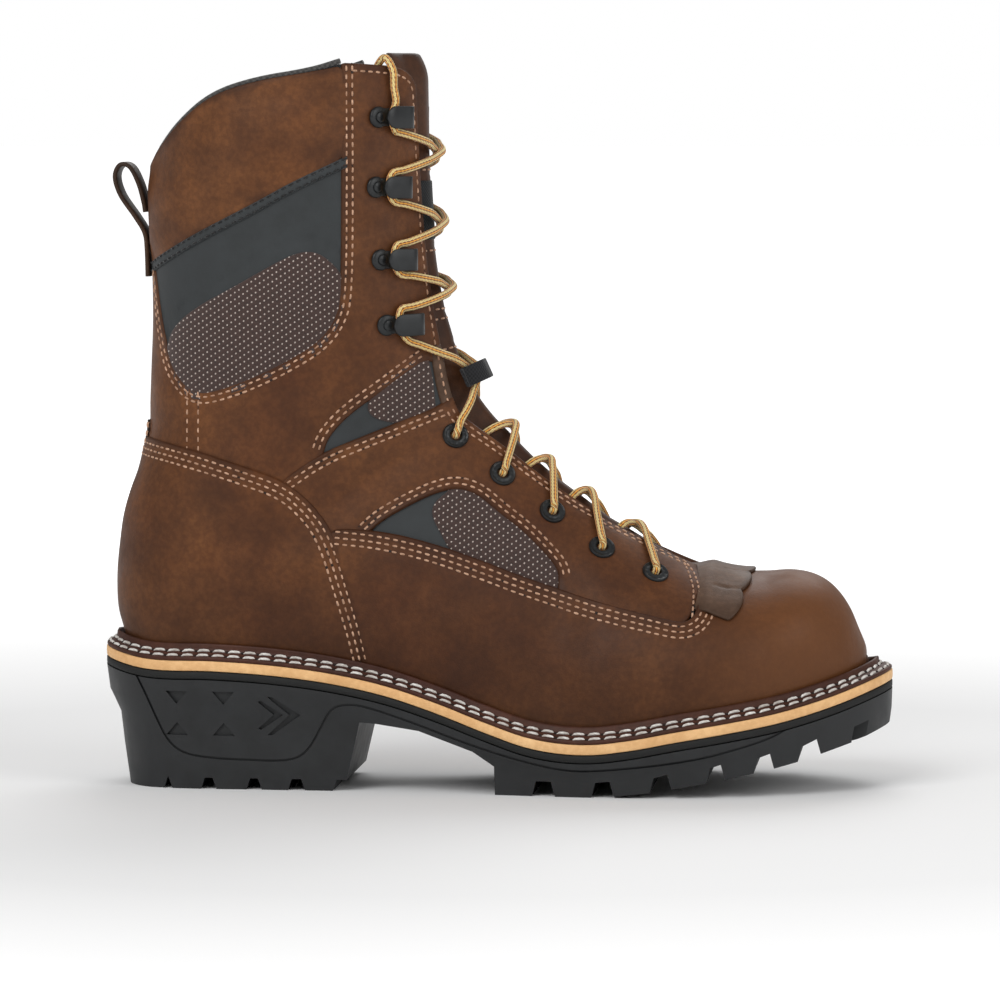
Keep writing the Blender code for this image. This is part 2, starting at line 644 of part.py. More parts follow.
def make_panel(name, keep, cuts, leather, material, side=None, throat=False):
    """Panel of leather over the upper: the larger form, kept inside one outline and emptied by the smaller."""
    panel = form_solid(SEAM_GAP + leather, material, 0.0)
    if throat:
        combine(panel, throat_cutter(material), "DIFFERENCE")
    low, high = -BALL_WIDTH, BALL_WIDTH
    if side:
        low, high = sorted((side * SEAM_GAP / 2, side * BALL_WIDTH))
    combine(panel, prism(keep, low, high, material), "INTERSECT")
    for outline in cuts:
        combine(panel, prism(outline, -BALL_WIDTH, BALL_WIDTH, material), "DIFFERENCE")
    combine(panel, form_solid(SEAM_GAP, material, 0.004), "DIFFERENCE")
    panel.name = name
    return panel


def shifted(outline, dx, dz):
    """Outline moved by a small step, to leave the seam's gap."""
    return [(x + dx, z + dz) for x, z in outline]


def make_panels(leather):
    """Counter, vamp, quarters, shaft panels and collar panels."""
    gap = SEAM_GAP
    floor = -0.01
    counter_line = outline_of(COUNTER_LINE)
    vamp_line = outline_of(VAMP_LINE)
    quarter_line = outline_of(QUARTER_LINE)
    collar_line = outline_of(COLLAR_LINE)
    collar_panel_line = outline_of(COLLAR_PANEL_LINE)
    back = HEEL_X - 0.02
    front = -HEEL_X + 0.02
    made = []
    counter = counter_line + [(counter_line[-1][0], floor), (back, floor), (back, counter_line[0][1])]
    made.append(make_panel("counter", counter, [], COUNTER_LEATHER, leather))
    behind = shifted(counter_line, gap, gap) + [(counter_line[-1][0] + gap, floor), (back, floor),
                                                (back, counter_line[0][1] + gap)]
    vamp = vamp_line + [(front, vamp_line[-1][1]), (front, floor), (vamp_line[0][0] - 0.03, floor),
                        (vamp_line[0][0] - 0.03, vamp_line[0][1])]
    made.append(make_panel("vamp", vamp, [behind], VAMP_LEATHER, leather))
    over_vamp = shifted(vamp_line, 0.0, gap) + [(front, vamp_line[-1][1]), (front, floor), (vamp_line[0][0] - 0.03, floor),
                                               (vamp_line[0][0] - 0.03, vamp_line[0][1] + gap)]
    front_edge = outline_of(QUARTER_FRONT)
    quarter = quarter_line + front_edge + [(front_edge[-1][0], floor), (quarter_line[0][0] - 0.02, floor)]
    quarter += [(quarter_line[0][0] - 0.02, quarter_line[0][1] - 0.02)]
    for name, side in SIDES.items():
        cuts = [behind, over_vamp, outline_of(WINDOW_LOW)]
        made.append(make_panel("quarter_" + name, quarter, cuts, QUARTER_LEATHER, leather, side, True))
    below = [(back, floor), (back, counter_line[0][1] + gap)] + shifted(counter_line[:5], 0.0, gap)
    below += shifted(quarter_line[1:], 0.0, gap) + [(front, quarter_line[-1][1] + gap), (front, floor)]
    strip = collar_panel_line + [(collar_panel_line[-1][0], FORM_Z + 0.02), (back, FORM_Z + 0.02)]
    shaft = [(back, floor), (front, floor), (front, FORM_Z + 0.02), (back, FORM_Z + 0.02)]
    above = collar_line + [(front, collar_line[-1][1]), (front, FORM_Z + 0.03), (back, FORM_Z + 0.03)]
    for name, side in SIDES.items():
        cuts = [below, shifted(strip, gap, -gap), above, outline_of(WINDOW_HIGH), outline_of(WINDOW_MIDDLE)]
        made.append(make_panel("shaft_" + name, shaft, cuts, SHAFT_LEATHER, leather, side, True))
    for name, side in SIDES.items():
        made.append(make_panel("collar_" + name, strip, [above], COLLAR_LEATHER, leather, side))
    return made


def strip_solid(name, s, offsets, turns, thickness, material):
    """Sheet laid over the form: rows along s, columns of signed turn, between two heights."""
    s = np.asarray(s)
    grid_s = np.repeat(s[:, None], turns.shape[1], axis=1) if s.ndim == 1 else s
    points = []
    for lower in (0.0, thickness):
        sheet = np.where((turns < 0)[..., None], raised(grid_s, np.abs(turns), -1, offsets - lower),
                         raised(grid_s, np.abs(turns), 1, offsets - lower))
        points.append(sheet)
    count, width = grid_s.shape
    at = np.arange(2 * count * width).reshape(2, count, width)
    top, under = at
    faces = []
    for layer in (top, under):
        faces += np.stack([layer[:-1, :-1], layer[:-1, 1:], layer[1:, 1:], layer[1:, :-1]], -1).reshape(-1, 4).tolist()
    for a, b in ((top[0], under[0]), (top[-1], under[-1]), (top[:, 0], under[:, 0]), (top[:, -1], under[:, -1])):
        faces += np.stack([a[:-1], a[1:], b[1:], b[:-1]], -1).tolist()
    return make_object(name, np.concatenate([p.reshape(-1, 3) for p in points]), faces, material)


def sheet_height(turns, s, drop):
    """Height of the tongue: level with the form in the throat, under the wall beside it."""
    share = np.empty(turns.shape)
    for side in (-1, 1):
        edge = throat_turn(s, side)[:, None]
        part = np.clip((np.abs(turns) / edge - 0.20) / 0.64, 0, 1)
        share = np.where(np.sign(turns) == side, part * part * (3 - 2 * part), share)
    share = np.where(turns == 0, 0.0, share)
    return -drop * share


def make_tongue(material):
    """Tongue: fills the throat from behind and stands above the collar."""
    start, _ = section_of(HEEL_X + (THROAT_END + 0.012) * BOOT_LENGTH, 0.0)
    end = 2 + (1.003 * TOP_HEIGHT - PIVOT_Z) / (FORM_Z - PIVOT_Z)
    throat_start, _ = section_of(HEEL_X + THROAT_END * BOOT_LENGTH, 0.0)
    first = float(throat_start)
    s = np.concatenate([[float(start), first, first + 0.02, first + 0.05], np.linspace(first + 0.12, end, 15)])
    shares = np.array([0.0, 0.36, 0.62, 0.86])
    halves = {}
    for side in (-1, 1):
        edge = throat_turn(s, side)
        reach = np.linalg.norm(form(s, edge + 0.01, side) - form(s, edge, side), axis=-1) / 0.01
        halves[side] = np.column_stack([edge[:, None] * shares, edge + TONGUE_UNDERLAP / reach])
    turns = np.concatenate([-halves[-1][:, :0:-1], halves[1]], axis=1)
    heights = sheet_height(turns, s, WALL + TONGUE_GAP) - SEAM_GAP
    dip = np.clip((first + 0.05 - s) / 0.03, 0, 1)[:, None]
    heights = np.minimum(heights, -(WALL + TONGUE_GAP) * dip)
    return strip_solid("tongue", s, heights, turns, TONGUE_LEATHER, material)


def make_kiltie(material):
    """Fringed flap over the foot of the throat, with a scalloped front edge."""
    front, _ = section_of(HEEL_X + KILTIE_FRONT * BOOT_LENGTH, 0.0)
    back, _ = section_of(HEEL_X + KILTIE_BACK * BOOT_LENGTH, 0.0)
    shares = np.linspace(-1, 1, 15)
    scallop = KILTIE_SCALLOP * (np.abs(np.sin(shares * 4 * math.pi)) - 2 * shares ** 2)
    reach = np.linspace(1, 0, 4)[:, None]
    s = float(back) + (float(front) - float(back) - scallop) * reach
    turns = np.repeat(shares[None] * KILTIE_TURN, len(s), axis=0)
    height = VAMP_LEATHER + SEAM_GAP + KILTIE_GAP + KILTIE_LEATHER
    return strip_solid("kiltie", s, np.full(turns.shape, height), turns, KILTIE_LEATHER, material)


def sole_rings(rings, material, name):
    """Closed solid from rings round the sole, each a function of q and side giving inset and height."""
    q = np.linspace(0, 1, SOLE_STATIONS + 1)
    loops = []
    for inset, height in rings:
        lateral = sole_edge(q, -1, inset(q))
        medial = sole_edge(q, 1, inset(q))[::-1][1:-1]
        plan = np.concatenate([lateral, medial])
        loops.append(np.column_stack([plan, height(plan[:, 0])]))
    count = len(loops[0])
    points = np.concatenate(loops)
    faces = []
    for k in range(len(loops) - 1):
        a = np.arange(count) + k * count
        b = a + count
        faces += np.stack([a, np.roll(a, -1), np.roll(b, -1), b], -1).tolist()
    for k in (0, len(loops) - 1):
        base = k * count
        for i in range(SOLE_STATIONS):
            mirror = [(count - i) % count, (count - i - 1) % count]
            faces.append([base + i, base + i + 1, base + mirror[1], base + mirror[0]])
    return make_object(name, points, faces, material)


def level(offset):
    """Height function parallel to the midsole's top."""
    return lambda x: seat_line(x) + offset


def constant_inset(value):
    """Inset that is the same all round."""
    return lambda q: np.full(np.shape(q), value)


def make_welt(material):
    """Storm welt: a ring with a thin outer edge, a slope and a raised rib against the leather."""
    q = np.linspace(0, 1, SOLE_STATIONS + 1)
    loops = []
    lean = {}
    for side in (-1, 1):
        foot = sole_edge(q, side, welt_width(q) + UNDER)
        s, r = section_of(foot[:, 0], seat_line(foot[:, 0]) + WELT_RIB)
        end, _ = section_end(s)
        t = np.clip((end - r) / (end - COLUMNS["ridge"](s)), 0, 1)
        wide = np.abs(half_width(s, t, side) + side * COLUMNS["centre"](s))
        fade = np.clip(np.abs(foot[:, 1]) / LEAN_FADE, 0, 1)
        lean[side] = np.clip(wide - np.abs(foot[:, 1]), 0.0, LEAN_LIMIT) * fade + LEAN_TIP * (1 - fade)
    profile = (
        # share of the welt's width, height over the midsole, whether it leans with the leather
        (0.04, SEAM_GAP, 0.0),
        (0.04, WELT_EDGE, 0.0),
        (1 - RIB_WIDTH / WELT_SIDE - 0.06, 0.5 * WELT_RIB, 0.4),
        (1 - RIB_WIDTH / WELT_SIDE, WELT_RIB, 0.7),
        (0.90, WELT_RIB, 1.15),
        (0.92, SEAM_GAP, 0.2),
    )
    for share, height, leaning in profile:
        sides = []
        for side in (-1, 1):
            inset = welt_width(q) * share - lean[side] * leaning
            sides.append(sole_edge(q, side, inset))
        plan = np.concatenate([sides[0], sides[1][::-1][1:-1]])
        loops.append(np.column_stack([plan, seat_line(plan[:, 0]) + height]))
    count = len(loops[0])
    faces = []
    for k in range(len(loops)):
        a = np.arange(count) + k * count
        b = np.arange(count) + (k + 1) % len(loops) * count
        faces += np.stack([a, np.roll(a, -1), np.roll(b, -1), b], -1).tolist()
    return make_object("welt", np.concatenate(loops), faces, material)


def tread_height(share):
    """Height of the tread's bottom at a length share: on the floor up to the ball, then rising to the toe."""
    return float(SEAT_HEIGHT * np.maximum(TREAD_CURVE(share), 0.0))


def tread_outline():
    """Side view of everything above the outsole's bottom: heel lugs, breast, shank and forefoot lugs."""
    lean = LUG_LEAN * BOOT_LENGTH
    path = [(HEEL_X - 0.02, 0.09), (HEEL_X - 0.02, 0.0)]
    for k, (start, end) in enumerate(HEEL_LUGS):
        first = HEEL_X + start * BOOT_LENGTH
        last = HEEL_X + end * BOOT_LENGTH
        if k:
            path += [(first - lean, HEEL_LUG_DEPTH), (first, 0.0)]
        path.append((last, 0.0))
        path.append((last + lean, HEEL_LUG_DEPTH))
    breast = HEEL_X + HEEL_BREAST * BOOT_LENGTH
    path.append((breast, HEEL_LUG_DEPTH))
    path += [(HEEL_X + row[0] * BOOT_LENGTH, row[1] * SEAT_HEIGHT) for row in SHANK_LINE]
    for k, (start, end) in enumerate(FORE_LUGS):
        first = HEEL_X + start * BOOT_LENGTH
        last = HEEL_X + end * BOOT_LENGTH
        bottoms = [tread_height(share) for share in (start, end)]
        if k:
            path.append((first - lean, bottoms[0] + LUG_DEPTH))
        path.append((first, bottoms[0]))
        if end > 1:
            path += [(HEEL_X + share * BOOT_LENGTH, tread_height(share)) for share in TOE_TREAD]
        path.append((last, bottoms[1]))
        if end < 1:
            path.append((last + lean, bottoms[1] + LUG_DEPTH))
    path += [(-HEEL_X + 0.02, 0.09)]
    return path


def outsole_insets():
    """Inset of the outsole's side at its top, below its top, at mid height and at the floor."""
    def heel(q):
        return np.clip(1 - q / 0.16, 0, 1)

    def taper(q, share):
        back = (HEEL_TAPER_BACK - HEEL_TAPER_SIDE) * heel(q)
        side = HEEL_TAPER_SIDE + (EDGE_TAPER - HEEL_TAPER_SIDE) * np.clip((q - 0.3) / 0.2, 0, 1)
        return (back + side) * share
    return taper


def outsole_body(extra, material, name):
    """Outsole without its tread: rings from its top to below the floor."""
    taper = outsole_insets()
    top = -(MIDSOLE + FOAM + 2 * SEAM_GAP)
    rings = (
        (lambda q: np.full(np.shape(q), extra), level(top)),
        (lambda q: extra + taper(q, 0.12), lambda x: (seat_line(x) + top) * 0.80),
        (lambda q: extra + taper(q, 0.55), lambda x: (seat_line(x) + top) * 0.62),
        (lambda q: extra + taper(q, 0.70), lambda x: (seat_line(x) + top) * 0.36),
        (lambda q: extra + taper(q, 1.00), lambda x: np.full(np.shape(x), -0.002)),
    )
    return sole_rings(rings, material, name)


def make_outsole(material):
    """Lug outsole with a tapered heel, two channels between the lugs and a recessed inlay on the heel."""
    outsole = outsole_body(0.0, material, "outsole")
    combine(outsole, prism(tread_outline(), -BALL_WIDTH, BALL_WIDTH, material), "INTERSECT")
    inlay_line = [(HEEL_X + a * BOOT_LENGTH, b * SEAT_HEIGHT) for a, b in INLAY_LINE]
    inlay = prism(inlay_line, -BALL_WIDTH, BALL_WIDTH, material)
    combine(inlay, outsole_body(INLAY_DEPTH, material, "core"), "DIFFERENCE")
    combine(outsole, inlay, "DIFFERENCE")
    fore = [(HEEL_X + row[0] * BOOT_LENGTH, row[1] * SEAT_HEIGHT + LUG_DEPTH) for row in TREAD_LINE[1:]]
    first = HEEL_X + CHANNEL_START * BOOT_LENGTH
    fore = [(first, -0.01), (first, LUG_DEPTH)] + fore + [(-HEEL_X + 0.01, fore[-1][1]), (-HEEL_X + 0.01, -0.01)]
    for share in CHANNEL_CENTRES:
        centre = share * HALF_BALL
        cutter = prism(fore, centre - CHANNEL / 2, centre + CHANNEL / 2, material)
        combine(outsole, cutter, "DIFFERENCE")
    heel_start = HEEL_X + HEEL_LUGS[0][1] * BOOT_LENGTH
    heel_end = HEEL_X + (HEEL_BREAST + 0.01) * BOOT_LENGTH
    heel = [(heel_start, -0.01), (heel_start, HEEL_LUG_DEPTH), (heel_end, HEEL_LUG_DEPTH), (heel_end, -0.01)]
    combine(outsole, prism(heel, -CHANNEL, CHANNEL, material), "DIFFERENCE")
    return outsole


def frame_at(s, turn, side, height):
    """Place on the form: its point, outward direction, and the direction toward the throat across it."""
    point = Vector(raised(s, turn, side, np.float64(height)))
    normal = Vector(form_normal(np.float64(s), np.float64(turn), side))
    toward = Vector(form(s, turn - 0.02, side)) - Vector(form(s, turn + 0.02, side))
    toward = (toward - normal * toward.dot(normal)).normalized()
    across = normal.cross(toward)
    return Matrix((toward, across, normal)).transposed().to_4x4().copy(), point


def placed(thing, s, turn, side, height):
    """Put an object on the form, its Z outward and its X toward the throat."""
    turned, point = frame_at(s, turn, side, height)
    thing.data.transform(Matrix.Translation(point) @ turned)
    return thing


def turned_ring(name, profile, segments, material):
    """Ring made by turning a closed profile of (radius, height) round Z."""
    count = len(profile)
    points = []
    for k in range(segments):
        angle = 2 * math.pi * k / segments
        points += [(r * math.cos(angle), r * math.sin(angle), h) for r, h in profile]
    faces = []
    for k in range(segments):
        a = k * count
        b = (k + 1) % segments * count
        faces += [(a + i, a + (i + 1) % count, b + (i + 1) % count, b + i) for i in range(count)]
    return make_object(name, points, faces, material)


def cylinder(radius, low, high, segments, material):
    """Upright cylinder between two heights."""
    circle = [(radius * math.cos(2 * math.pi * k / segments), radius * math.sin(2 * math.pi * k / segments))
              for k in range(segments)]
    return prism(circle, low, high, material, axis="Z")


def make_eyelets(pieces, leather, metal):
    """Five eyelets a side, through holes in the quarter and the upper."""
    through = QUARTER_LEATHER + WALL
    profile = ((EYELET_HOLE, -through), (EYELET_BARREL, -through), (EYELET_BARREL, SEAM_GAP),
               (EYELET_RADIUS, SEAM_GAP), (EYELET_RADIUS - 0.0004, SEAM_GAP + EYELET_FLANGE),
               (EYELET_HOLE, SEAM_GAP + EYELET_FLANGE))
    surface = 3 * SEAM_GAP + QUARTER_LEATHER
    made = []
    for name, side in SIDES.items():
        for k, (length, height) in enumerate(EYELETS):
            s, turn = on_side(length, height, side)
            x, z = side_point((length, height))
            wall = "forefoot" if x > FOREFOOT_X else "shaft" if z > SHAFT_Z else "heel"
            for target in (pieces["quarter_" + name], pieces["upper_" + wall]):
                hole = cylinder(EYELET_BARREL + SEAM_GAP, -3 * through, 3 * through, 10, leather)
                combine(target, placed(hole, s, turn, side, surface), "DIFFERENCE")
            ring = turned_ring("eyelet_%s_%d" % (name, k + 1), profile, 10, metal)
            made.append(placed(ring, s, turn, side, surface))
    return made


def make_hooks(metal):
    """Four speed hooks a side: a round base with a sheet folded back over it from the throat's side."""
    rise = HOOK_SHEET + HOOK_MOUTH
    half = HOOK_LENGTH / 2
    fold = ((-half, SEAM_GAP), (half, SEAM_GAP), (half, rise + HOOK_SHEET), (-half, rise + HOOK_SHEET),
            (-half, rise), (half - HOOK_SHEET, rise), (half - HOOK_SHEET, SEAM_GAP + HOOK_SHEET),
            (-half, SEAM_GAP + HOOK_SHEET))
    made = []
    for name, side in SIDES.items():
        for k, (length, height) in enumerate(HOOKS):
            hook = prism(fold, -HOOK_WIDTH / 2, HOOK_WIDTH / 2, metal)
            base = cylinder(HOOK_BASE_RADIUS, SEAM_GAP, SEAM_GAP + HOOK_SHEET * 0.9, 12, metal)
            base.data.transform(Matrix.Translation((-half, 0, 0)))
            combine(hook, base, "UNION")
            s, turn = on_side(length, height, side)
            hook.name = "hook_%s_%d" % (name, k + 1)
            made.append(placed(hook, s, turn, side, SEAM_GAP + SHAFT_LEATHER))
    return made


def tube(name, points, radius, material, sides=6, twist=0.0):
    """Closed tube through points, its rings square to the path and twisted by an angle."""
    points = np.asarray(points, float)
    along = np.gradient(points, axis=0)
    along /= np.linalg.norm(along, axis=1, keepdims=True)
    guide = np.cross(along[0], [0.0, 0.0, 1.0])
    guide /= np.linalg.norm(guide)
    rings = []
    for point, direction in zip(points, along):
        guide = guide - direction * np.dot(guide, direction)
        guide /= np.linalg.norm(guide)
        other = np.cross(direction, guide)
        angles = 2 * math.pi * np.arange(sides) / sides + twist
        rings.append(point + radius * (np.cos(angles)[:, None] * guide + np.sin(angles)[:, None] * other))
    at = np.arange(len(points) * sides).reshape(len(points), sides)
    faces = np.stack([at[:-1], np.roll(at[:-1], -1, 1), np.roll(at[1:], -1, 1), at[1:]], -1).reshape(-1, 4).tolist()
    faces += [at[0].tolist(), at[-1][::-1].tolist()]
    return make_object(name, np.concatenate(rings), faces, material)


def lace_height(s, turn, level_height):
    """Height of a strand's middle: low over the tongue, up over the facing's edge."""
    share = np.empty(np.shape(turn))
    for side in (-1, 1):
        edge = throat_turn(s, side)
        part = np.clip((np.abs(turn) / edge - 0.34) / 0.38, 0, 1)
        share = np.where((turn <= 0) == (side < 0), part * part * (3 - 2 * part), share)
    low = 3 * SEAM_GAP + LACE_RADIUS
    return low + (level_height - low) * share


def strand(name, start, end, start_height, end_height, lift, material):
    """Strand from (s, signed turn) to another, laid over the form and the throat, lifted a little midway."""
    u = np.linspace(0, 1, 7)
    s = start[0] + (end[0] - start[0]) * u
    turn = start[1] + (end[1] - start[1]) * u
    height = lace_height(s, turn, start_height + (end_height - start_height) * u) + lift * np.sin(math.pi * u) ** 2
    points = np.where((turn < 0)[:, None], raised(s, np.abs(turn), -1, height), raised(s, np.abs(turn), 1, height))
    return tube(name, points, LACE_RADIUS, material, twist=lift / LACE_RADIUS)


def lacing_levels():
    """Place (s, turn) of each hook and eyelet, from the top, for both sides."""
    levels = []
    for length, height in HOOKS + EYELETS:
        levels.append({side: on_side(length, height, side) for side in (-1, 1)})
    return levels


def make_crossings(material):
    """One X of lace between each two levels, its strands joined where they cross."""
    levels = lacing_levels()
    over_hook = SEAM_GAP + SHAFT_LEATHER + 5 * SEAM_GAP + LACE_RADIUS
    over_eyelet = 7 * SEAM_GAP + QUARTER_LEATHER + EYELET_FLANGE + LACE_RADIUS
    made = []
    for k in range(len(levels) - 1):
        pair = []
        for side in (-1, 1):
            s_a, turn_a = levels[k][side]
            s_b, turn_b = levels[k + 1][-side]
            height_a = over_hook
            height_b = over_hook if k + 1 < len(HOOKS) else over_eyelet
            step = HOOK_CLEAR / (FORM_Z - PIVOT_Z)
            if k < len(HOOKS):
                s_a -= step
                turn_a += -0.02
            else:
                turn_a = 0.74 * float(throat_turn(np.float64(s_a), side))
                s_a -= 0.25 * (s_a - s_b)
            if k + 1 < len(HOOKS):
                s_b += step
                turn_b += -0.02
            lift = LACE_LIFT if side > 0 else 0.0
            pair.append(strand("strand", (s_a, side * turn_a), (s_b, -side * turn_b), height_a, height_b, lift, material))
        crossing = combine(pair[0], pair[1], "UNION")
        crossing.name = "lace_crossing_%d" % (k + 1)
        made.append(crossing)
    return made


def make_lace_ends(material):
    """Lace ends: from the top hook over the facing's top into the boot."""
    made = []
    for name, side in SIDES.items():
        s_hook, turn = on_side(*HOOKS[0], side)
        rise = (FORM_Z - PIVOT_Z)
        top = 2 + (0.999 * TOP_HEIGHT - PIVOT_Z) / rise
        outside = SEAM_GAP + SHAFT_LEATHER + LACE_RADIUS + 2 * SEAM_GAP
        inside = -(WALL + LACE_RADIUS + 2 * SEAM_GAP)
        over = (LACE_RADIUS + 2 * SEAM_GAP) / rise
        route = (
            # section, turn, height
            (s_hook + HOOK_CLEAR / rise, turn, outside),
            ((s_hook + top) / 2, turn, outside),
            (top - 0.4 * over, turn, outside),
            (top + 1.1 * over, turn + 0.004, (outside + inside) * 0.5),
            (top - 0.6 * over, turn + 0.010, inside),
            (top - 7.0 * over, turn + 0.030, inside - 0.0004),
            (top - 11.0 * over, turn + 0.060, inside - 0.0006),
        )
        points = np.array([raised(np.float64(s), np.float64(t), side, np.float64(h)) for s, t, h in route])
        share = np.linspace(0, 1, len(points))
        fine = np.linspace(0, 1, 12)
        path = np.column_stack([smooth_curve(list(zip(share, points[:, axis])))(fine) for axis in range(3)])
        curve = bpy.data.curves.new("lace_end_" + name, "CURVE")
        curve.dimensions = "3D"
        curve.bevel_depth = LACE_RADIUS
        curve.bevel_resolution = 2
        curve.use_fill_caps = True
        spline = curve.splines.new("POLY")
        spline.points.add(len(path) - 1)
        for target, source in zip(spline.points, path):
            target.co = (*source, 1.0)
        thing = bpy.data.objects.new("lace_end_" + name, curve)
        bpy.context.scene.collection.objects.link(thing)
        curve.materials.append(material)
        made.append(thing)
    return made


def band(name, path, thickness, low, high, material):
    """Strap of a thickness along a side-view path of (x, z), carried from low to high across Y."""
    path = np.asarray(path, float)
    along = np.gradient(path, axis=0)
    along /= np.linalg.norm(along, axis=1, keepdims=True)
    across = np.column_stack([-along[:, 1], along[:, 0]]) * thickness / 2
    outline = np.concatenate([path + across, (path - across)[::-1]])
    count = len(path)
    points = [(x, y, z) for y in (low, high) for x, z in outline]
    full = 2 * count
    faces = []
    for base in (0, full):
        for i in range(count - 1):
            faces.append([base + i, base + i + 1, base + full - 2 - i, base + full - 1 - i])
    faces += [[i, (i + 1) % full, (i + 1) % full + full, i + full] for i in range(full)]
    return make_object(name, points, faces, material)


def make_pull_loop(material):
    """Pull loop: one strap up the shaft's back, out, round and back to the shaft."""
    surface = SEAM_GAP + SHAFT_LEATHER + SEAM_GAP + LOOP_STRAP / 2 + SEAM_GAP
    share = np.linspace(0, 1, len(LOOP_PATH))
    fine = np.linspace(0, 1, 27)
    stand_off = smooth_curve(list(zip(share, [row[0] for row in LOOP_PATH])))(fine)
    height = smooth_curve(list(zip(share, [row[1] for row in LOOP_PATH])))(fine) * TOP_HEIGHT
    path = np.column_stack([back_x(height) - surface - np.clip(stand_off, 0, None), height])
    return band("pull_loop", path, LOOP_STRAP, -LOOP_WIDTH / 2, LOOP_WIDTH / 2, material)


def make_lace_keeper(material):
    """Bridge on the tongue that the lace passes under."""
    levels = lacing_levels()
    last_hook, hook_turn = levels[len(HOOKS) - 1][1]
    first_eyelet, eyelet_turn = levels[len(HOOKS)][1]
    start = last_hook - HOOK_CLEAR / (FORM_Z - PIVOT_Z)
    s = np.float64(start + (first_eyelet - start) * hook_turn / (hook_turn + eyelet_turn))
    foot = KEEPER_HALF
    rise = 2 * LACE_RADIUS + LACE_LIFT + 8 * SEAM_GAP + KEEPER_STRAP / 2
    drop = KEEPER_STRAP / 2 + SEAM_GAP
    profile = ((-foot, drop), (-foot * 0.84, drop), (-foot * 0.76, rise), (foot * 0.76, rise), (foot * 0.84, drop),
               (foot, drop))
    keeper = band("lace_keeper", profile, KEEPER_STRAP, -KEEPER_LENGTH / 2, KEEPER_LENGTH / 2, material)
    up = Vector(raised(s + 0.02, np.float64(0), 1, np.float64(0))) - Vector(raised(s - 0.02, np.float64(0), 1, np.float64(0)))
    normal = Vector(form_normal(s, np.float64(1e-6), 1))
    normal.y = 0
    normal.normalize()
    up = (up - normal * up.dot(normal)).normalized()
    across = up.cross(normal)
    basis = Matrix((across, up, normal)).transposed().to_4x4()
    middle = Vector(form(s, np.float64(0), 1))
    keeper.data.transform(Matrix.Translation(middle) @ basis)
    return keeper


def main():
    for thing in list(bpy.data.objects):
        bpy.data.objects.remove(thing, do_unlink=True)
    leather = material_for("brown_leather", (0.115, 0.048, 0.022), 0.55)
    tongue_leather = material_for("tongue_leather", (0.10, 0.040, 0.020), 0.60)
    lining = material_for("base_textile", (0.020, 0.022, 0.024), 0.85)
    greyed = material_for("kiltie_leather", (0.130, 0.080, 0.055), 0.70)
    welt_leather = material_for("welt_leather", (0.110, 0.034, 0.017), 0.55)
    tan = material_for("tan_midsole", (0.750, 0.400, 0.160), 0.60)
    foam = material_for("black_foam", (0.012, 0.012, 0.013), 0.85)
    rubber = material_for("black_rubber", (0.026, 0.028, 0.030), 0.65)
    metal = material_for("black_metal", (0.035, 0.040, 0.044), 0.40, 0.6)
    webbing = material_for("black_webbing", (0.015, 0.015, 0.016), 0.85)
    cord = material_for("yellow_lace", (0.800, 0.480, 0.120), 0.75)
    insole_foam = material_for("insole_foam", (0.060, 0.050, 0.045), 0.90)

    pieces = {part.name: part for part in make_upper(lining)}
    for panel in make_panels(leather):
        pieces[panel.name] = panel
    pieces["tongue"] = make_tongue(tongue_leather)
    pieces["kiltie"] = make_kiltie(greyed)
    pieces["welt"] = make_welt(welt_leather)
    flush = constant_inset(0.0)
    pieces["midsole"] = sole_rings(((flush, level(-MIDSOLE)), (flush, level(0.0))), tan, "midsole")
    foam_top = -MIDSOLE - SEAM_GAP
    pieces["foam_layer"] = sole_rings(((flush, level(foam_top - FOAM)), (flush, level(foam_top))), foam, "foam_layer")
    pieces["outsole"] = make_outsole(rubber)
    inner = lambda q: welt_width(q) + UNDER + WALL + INSOLE_GAP
    rings = ((inner, level(SEAM_GAP)), (inner, level(SEAM_GAP + INSOLE)))
    pieces["insole"] = sole_rings(rings, insole_foam, "insole")
    made = make_eyelets(pieces, leather, metal)
    made += make_hooks(metal)
    made += make_crossings(cord)
    made += [make_pull_loop(webbing), make_lace_keeper(webbing)]
    for piece in list(pieces.values()) + made:
        tidy(piece)
    make_lace_ends(cord)


main()
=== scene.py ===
"""Looks of a logger boot, right foot: fine leather panels with stitches, mesh windows, braided lace,
hooks and eyelets, a stitched welt and a lug outsole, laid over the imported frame.

Frame: +X toward the toe, +Y toward the medial side, +Z up, metres, the floor at Z 0.
"""
import math

import bmesh
import bpy
import numpy as np
from mathutils import Matrix, Vector
from mathutils.geometry import delaunay_2d_cdt


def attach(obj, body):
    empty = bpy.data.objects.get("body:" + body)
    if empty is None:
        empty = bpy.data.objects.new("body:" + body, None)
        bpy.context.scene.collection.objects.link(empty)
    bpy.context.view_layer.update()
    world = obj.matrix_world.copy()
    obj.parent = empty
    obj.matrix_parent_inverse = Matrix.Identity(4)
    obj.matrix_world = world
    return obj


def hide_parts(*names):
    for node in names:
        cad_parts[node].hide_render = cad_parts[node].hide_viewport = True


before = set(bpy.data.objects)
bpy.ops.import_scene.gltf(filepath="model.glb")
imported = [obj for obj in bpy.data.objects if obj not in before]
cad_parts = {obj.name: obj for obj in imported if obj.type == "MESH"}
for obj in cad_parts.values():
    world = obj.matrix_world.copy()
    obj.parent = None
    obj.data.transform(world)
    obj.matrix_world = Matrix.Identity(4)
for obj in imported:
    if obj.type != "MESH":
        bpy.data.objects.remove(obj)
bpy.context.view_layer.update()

# Overall sizes
BOOT_LENGTH = 0.316
BALL_WIDTH = 0.112
TOP_HEIGHT = 0.290
SEAT_HEIGHT = 0.0512

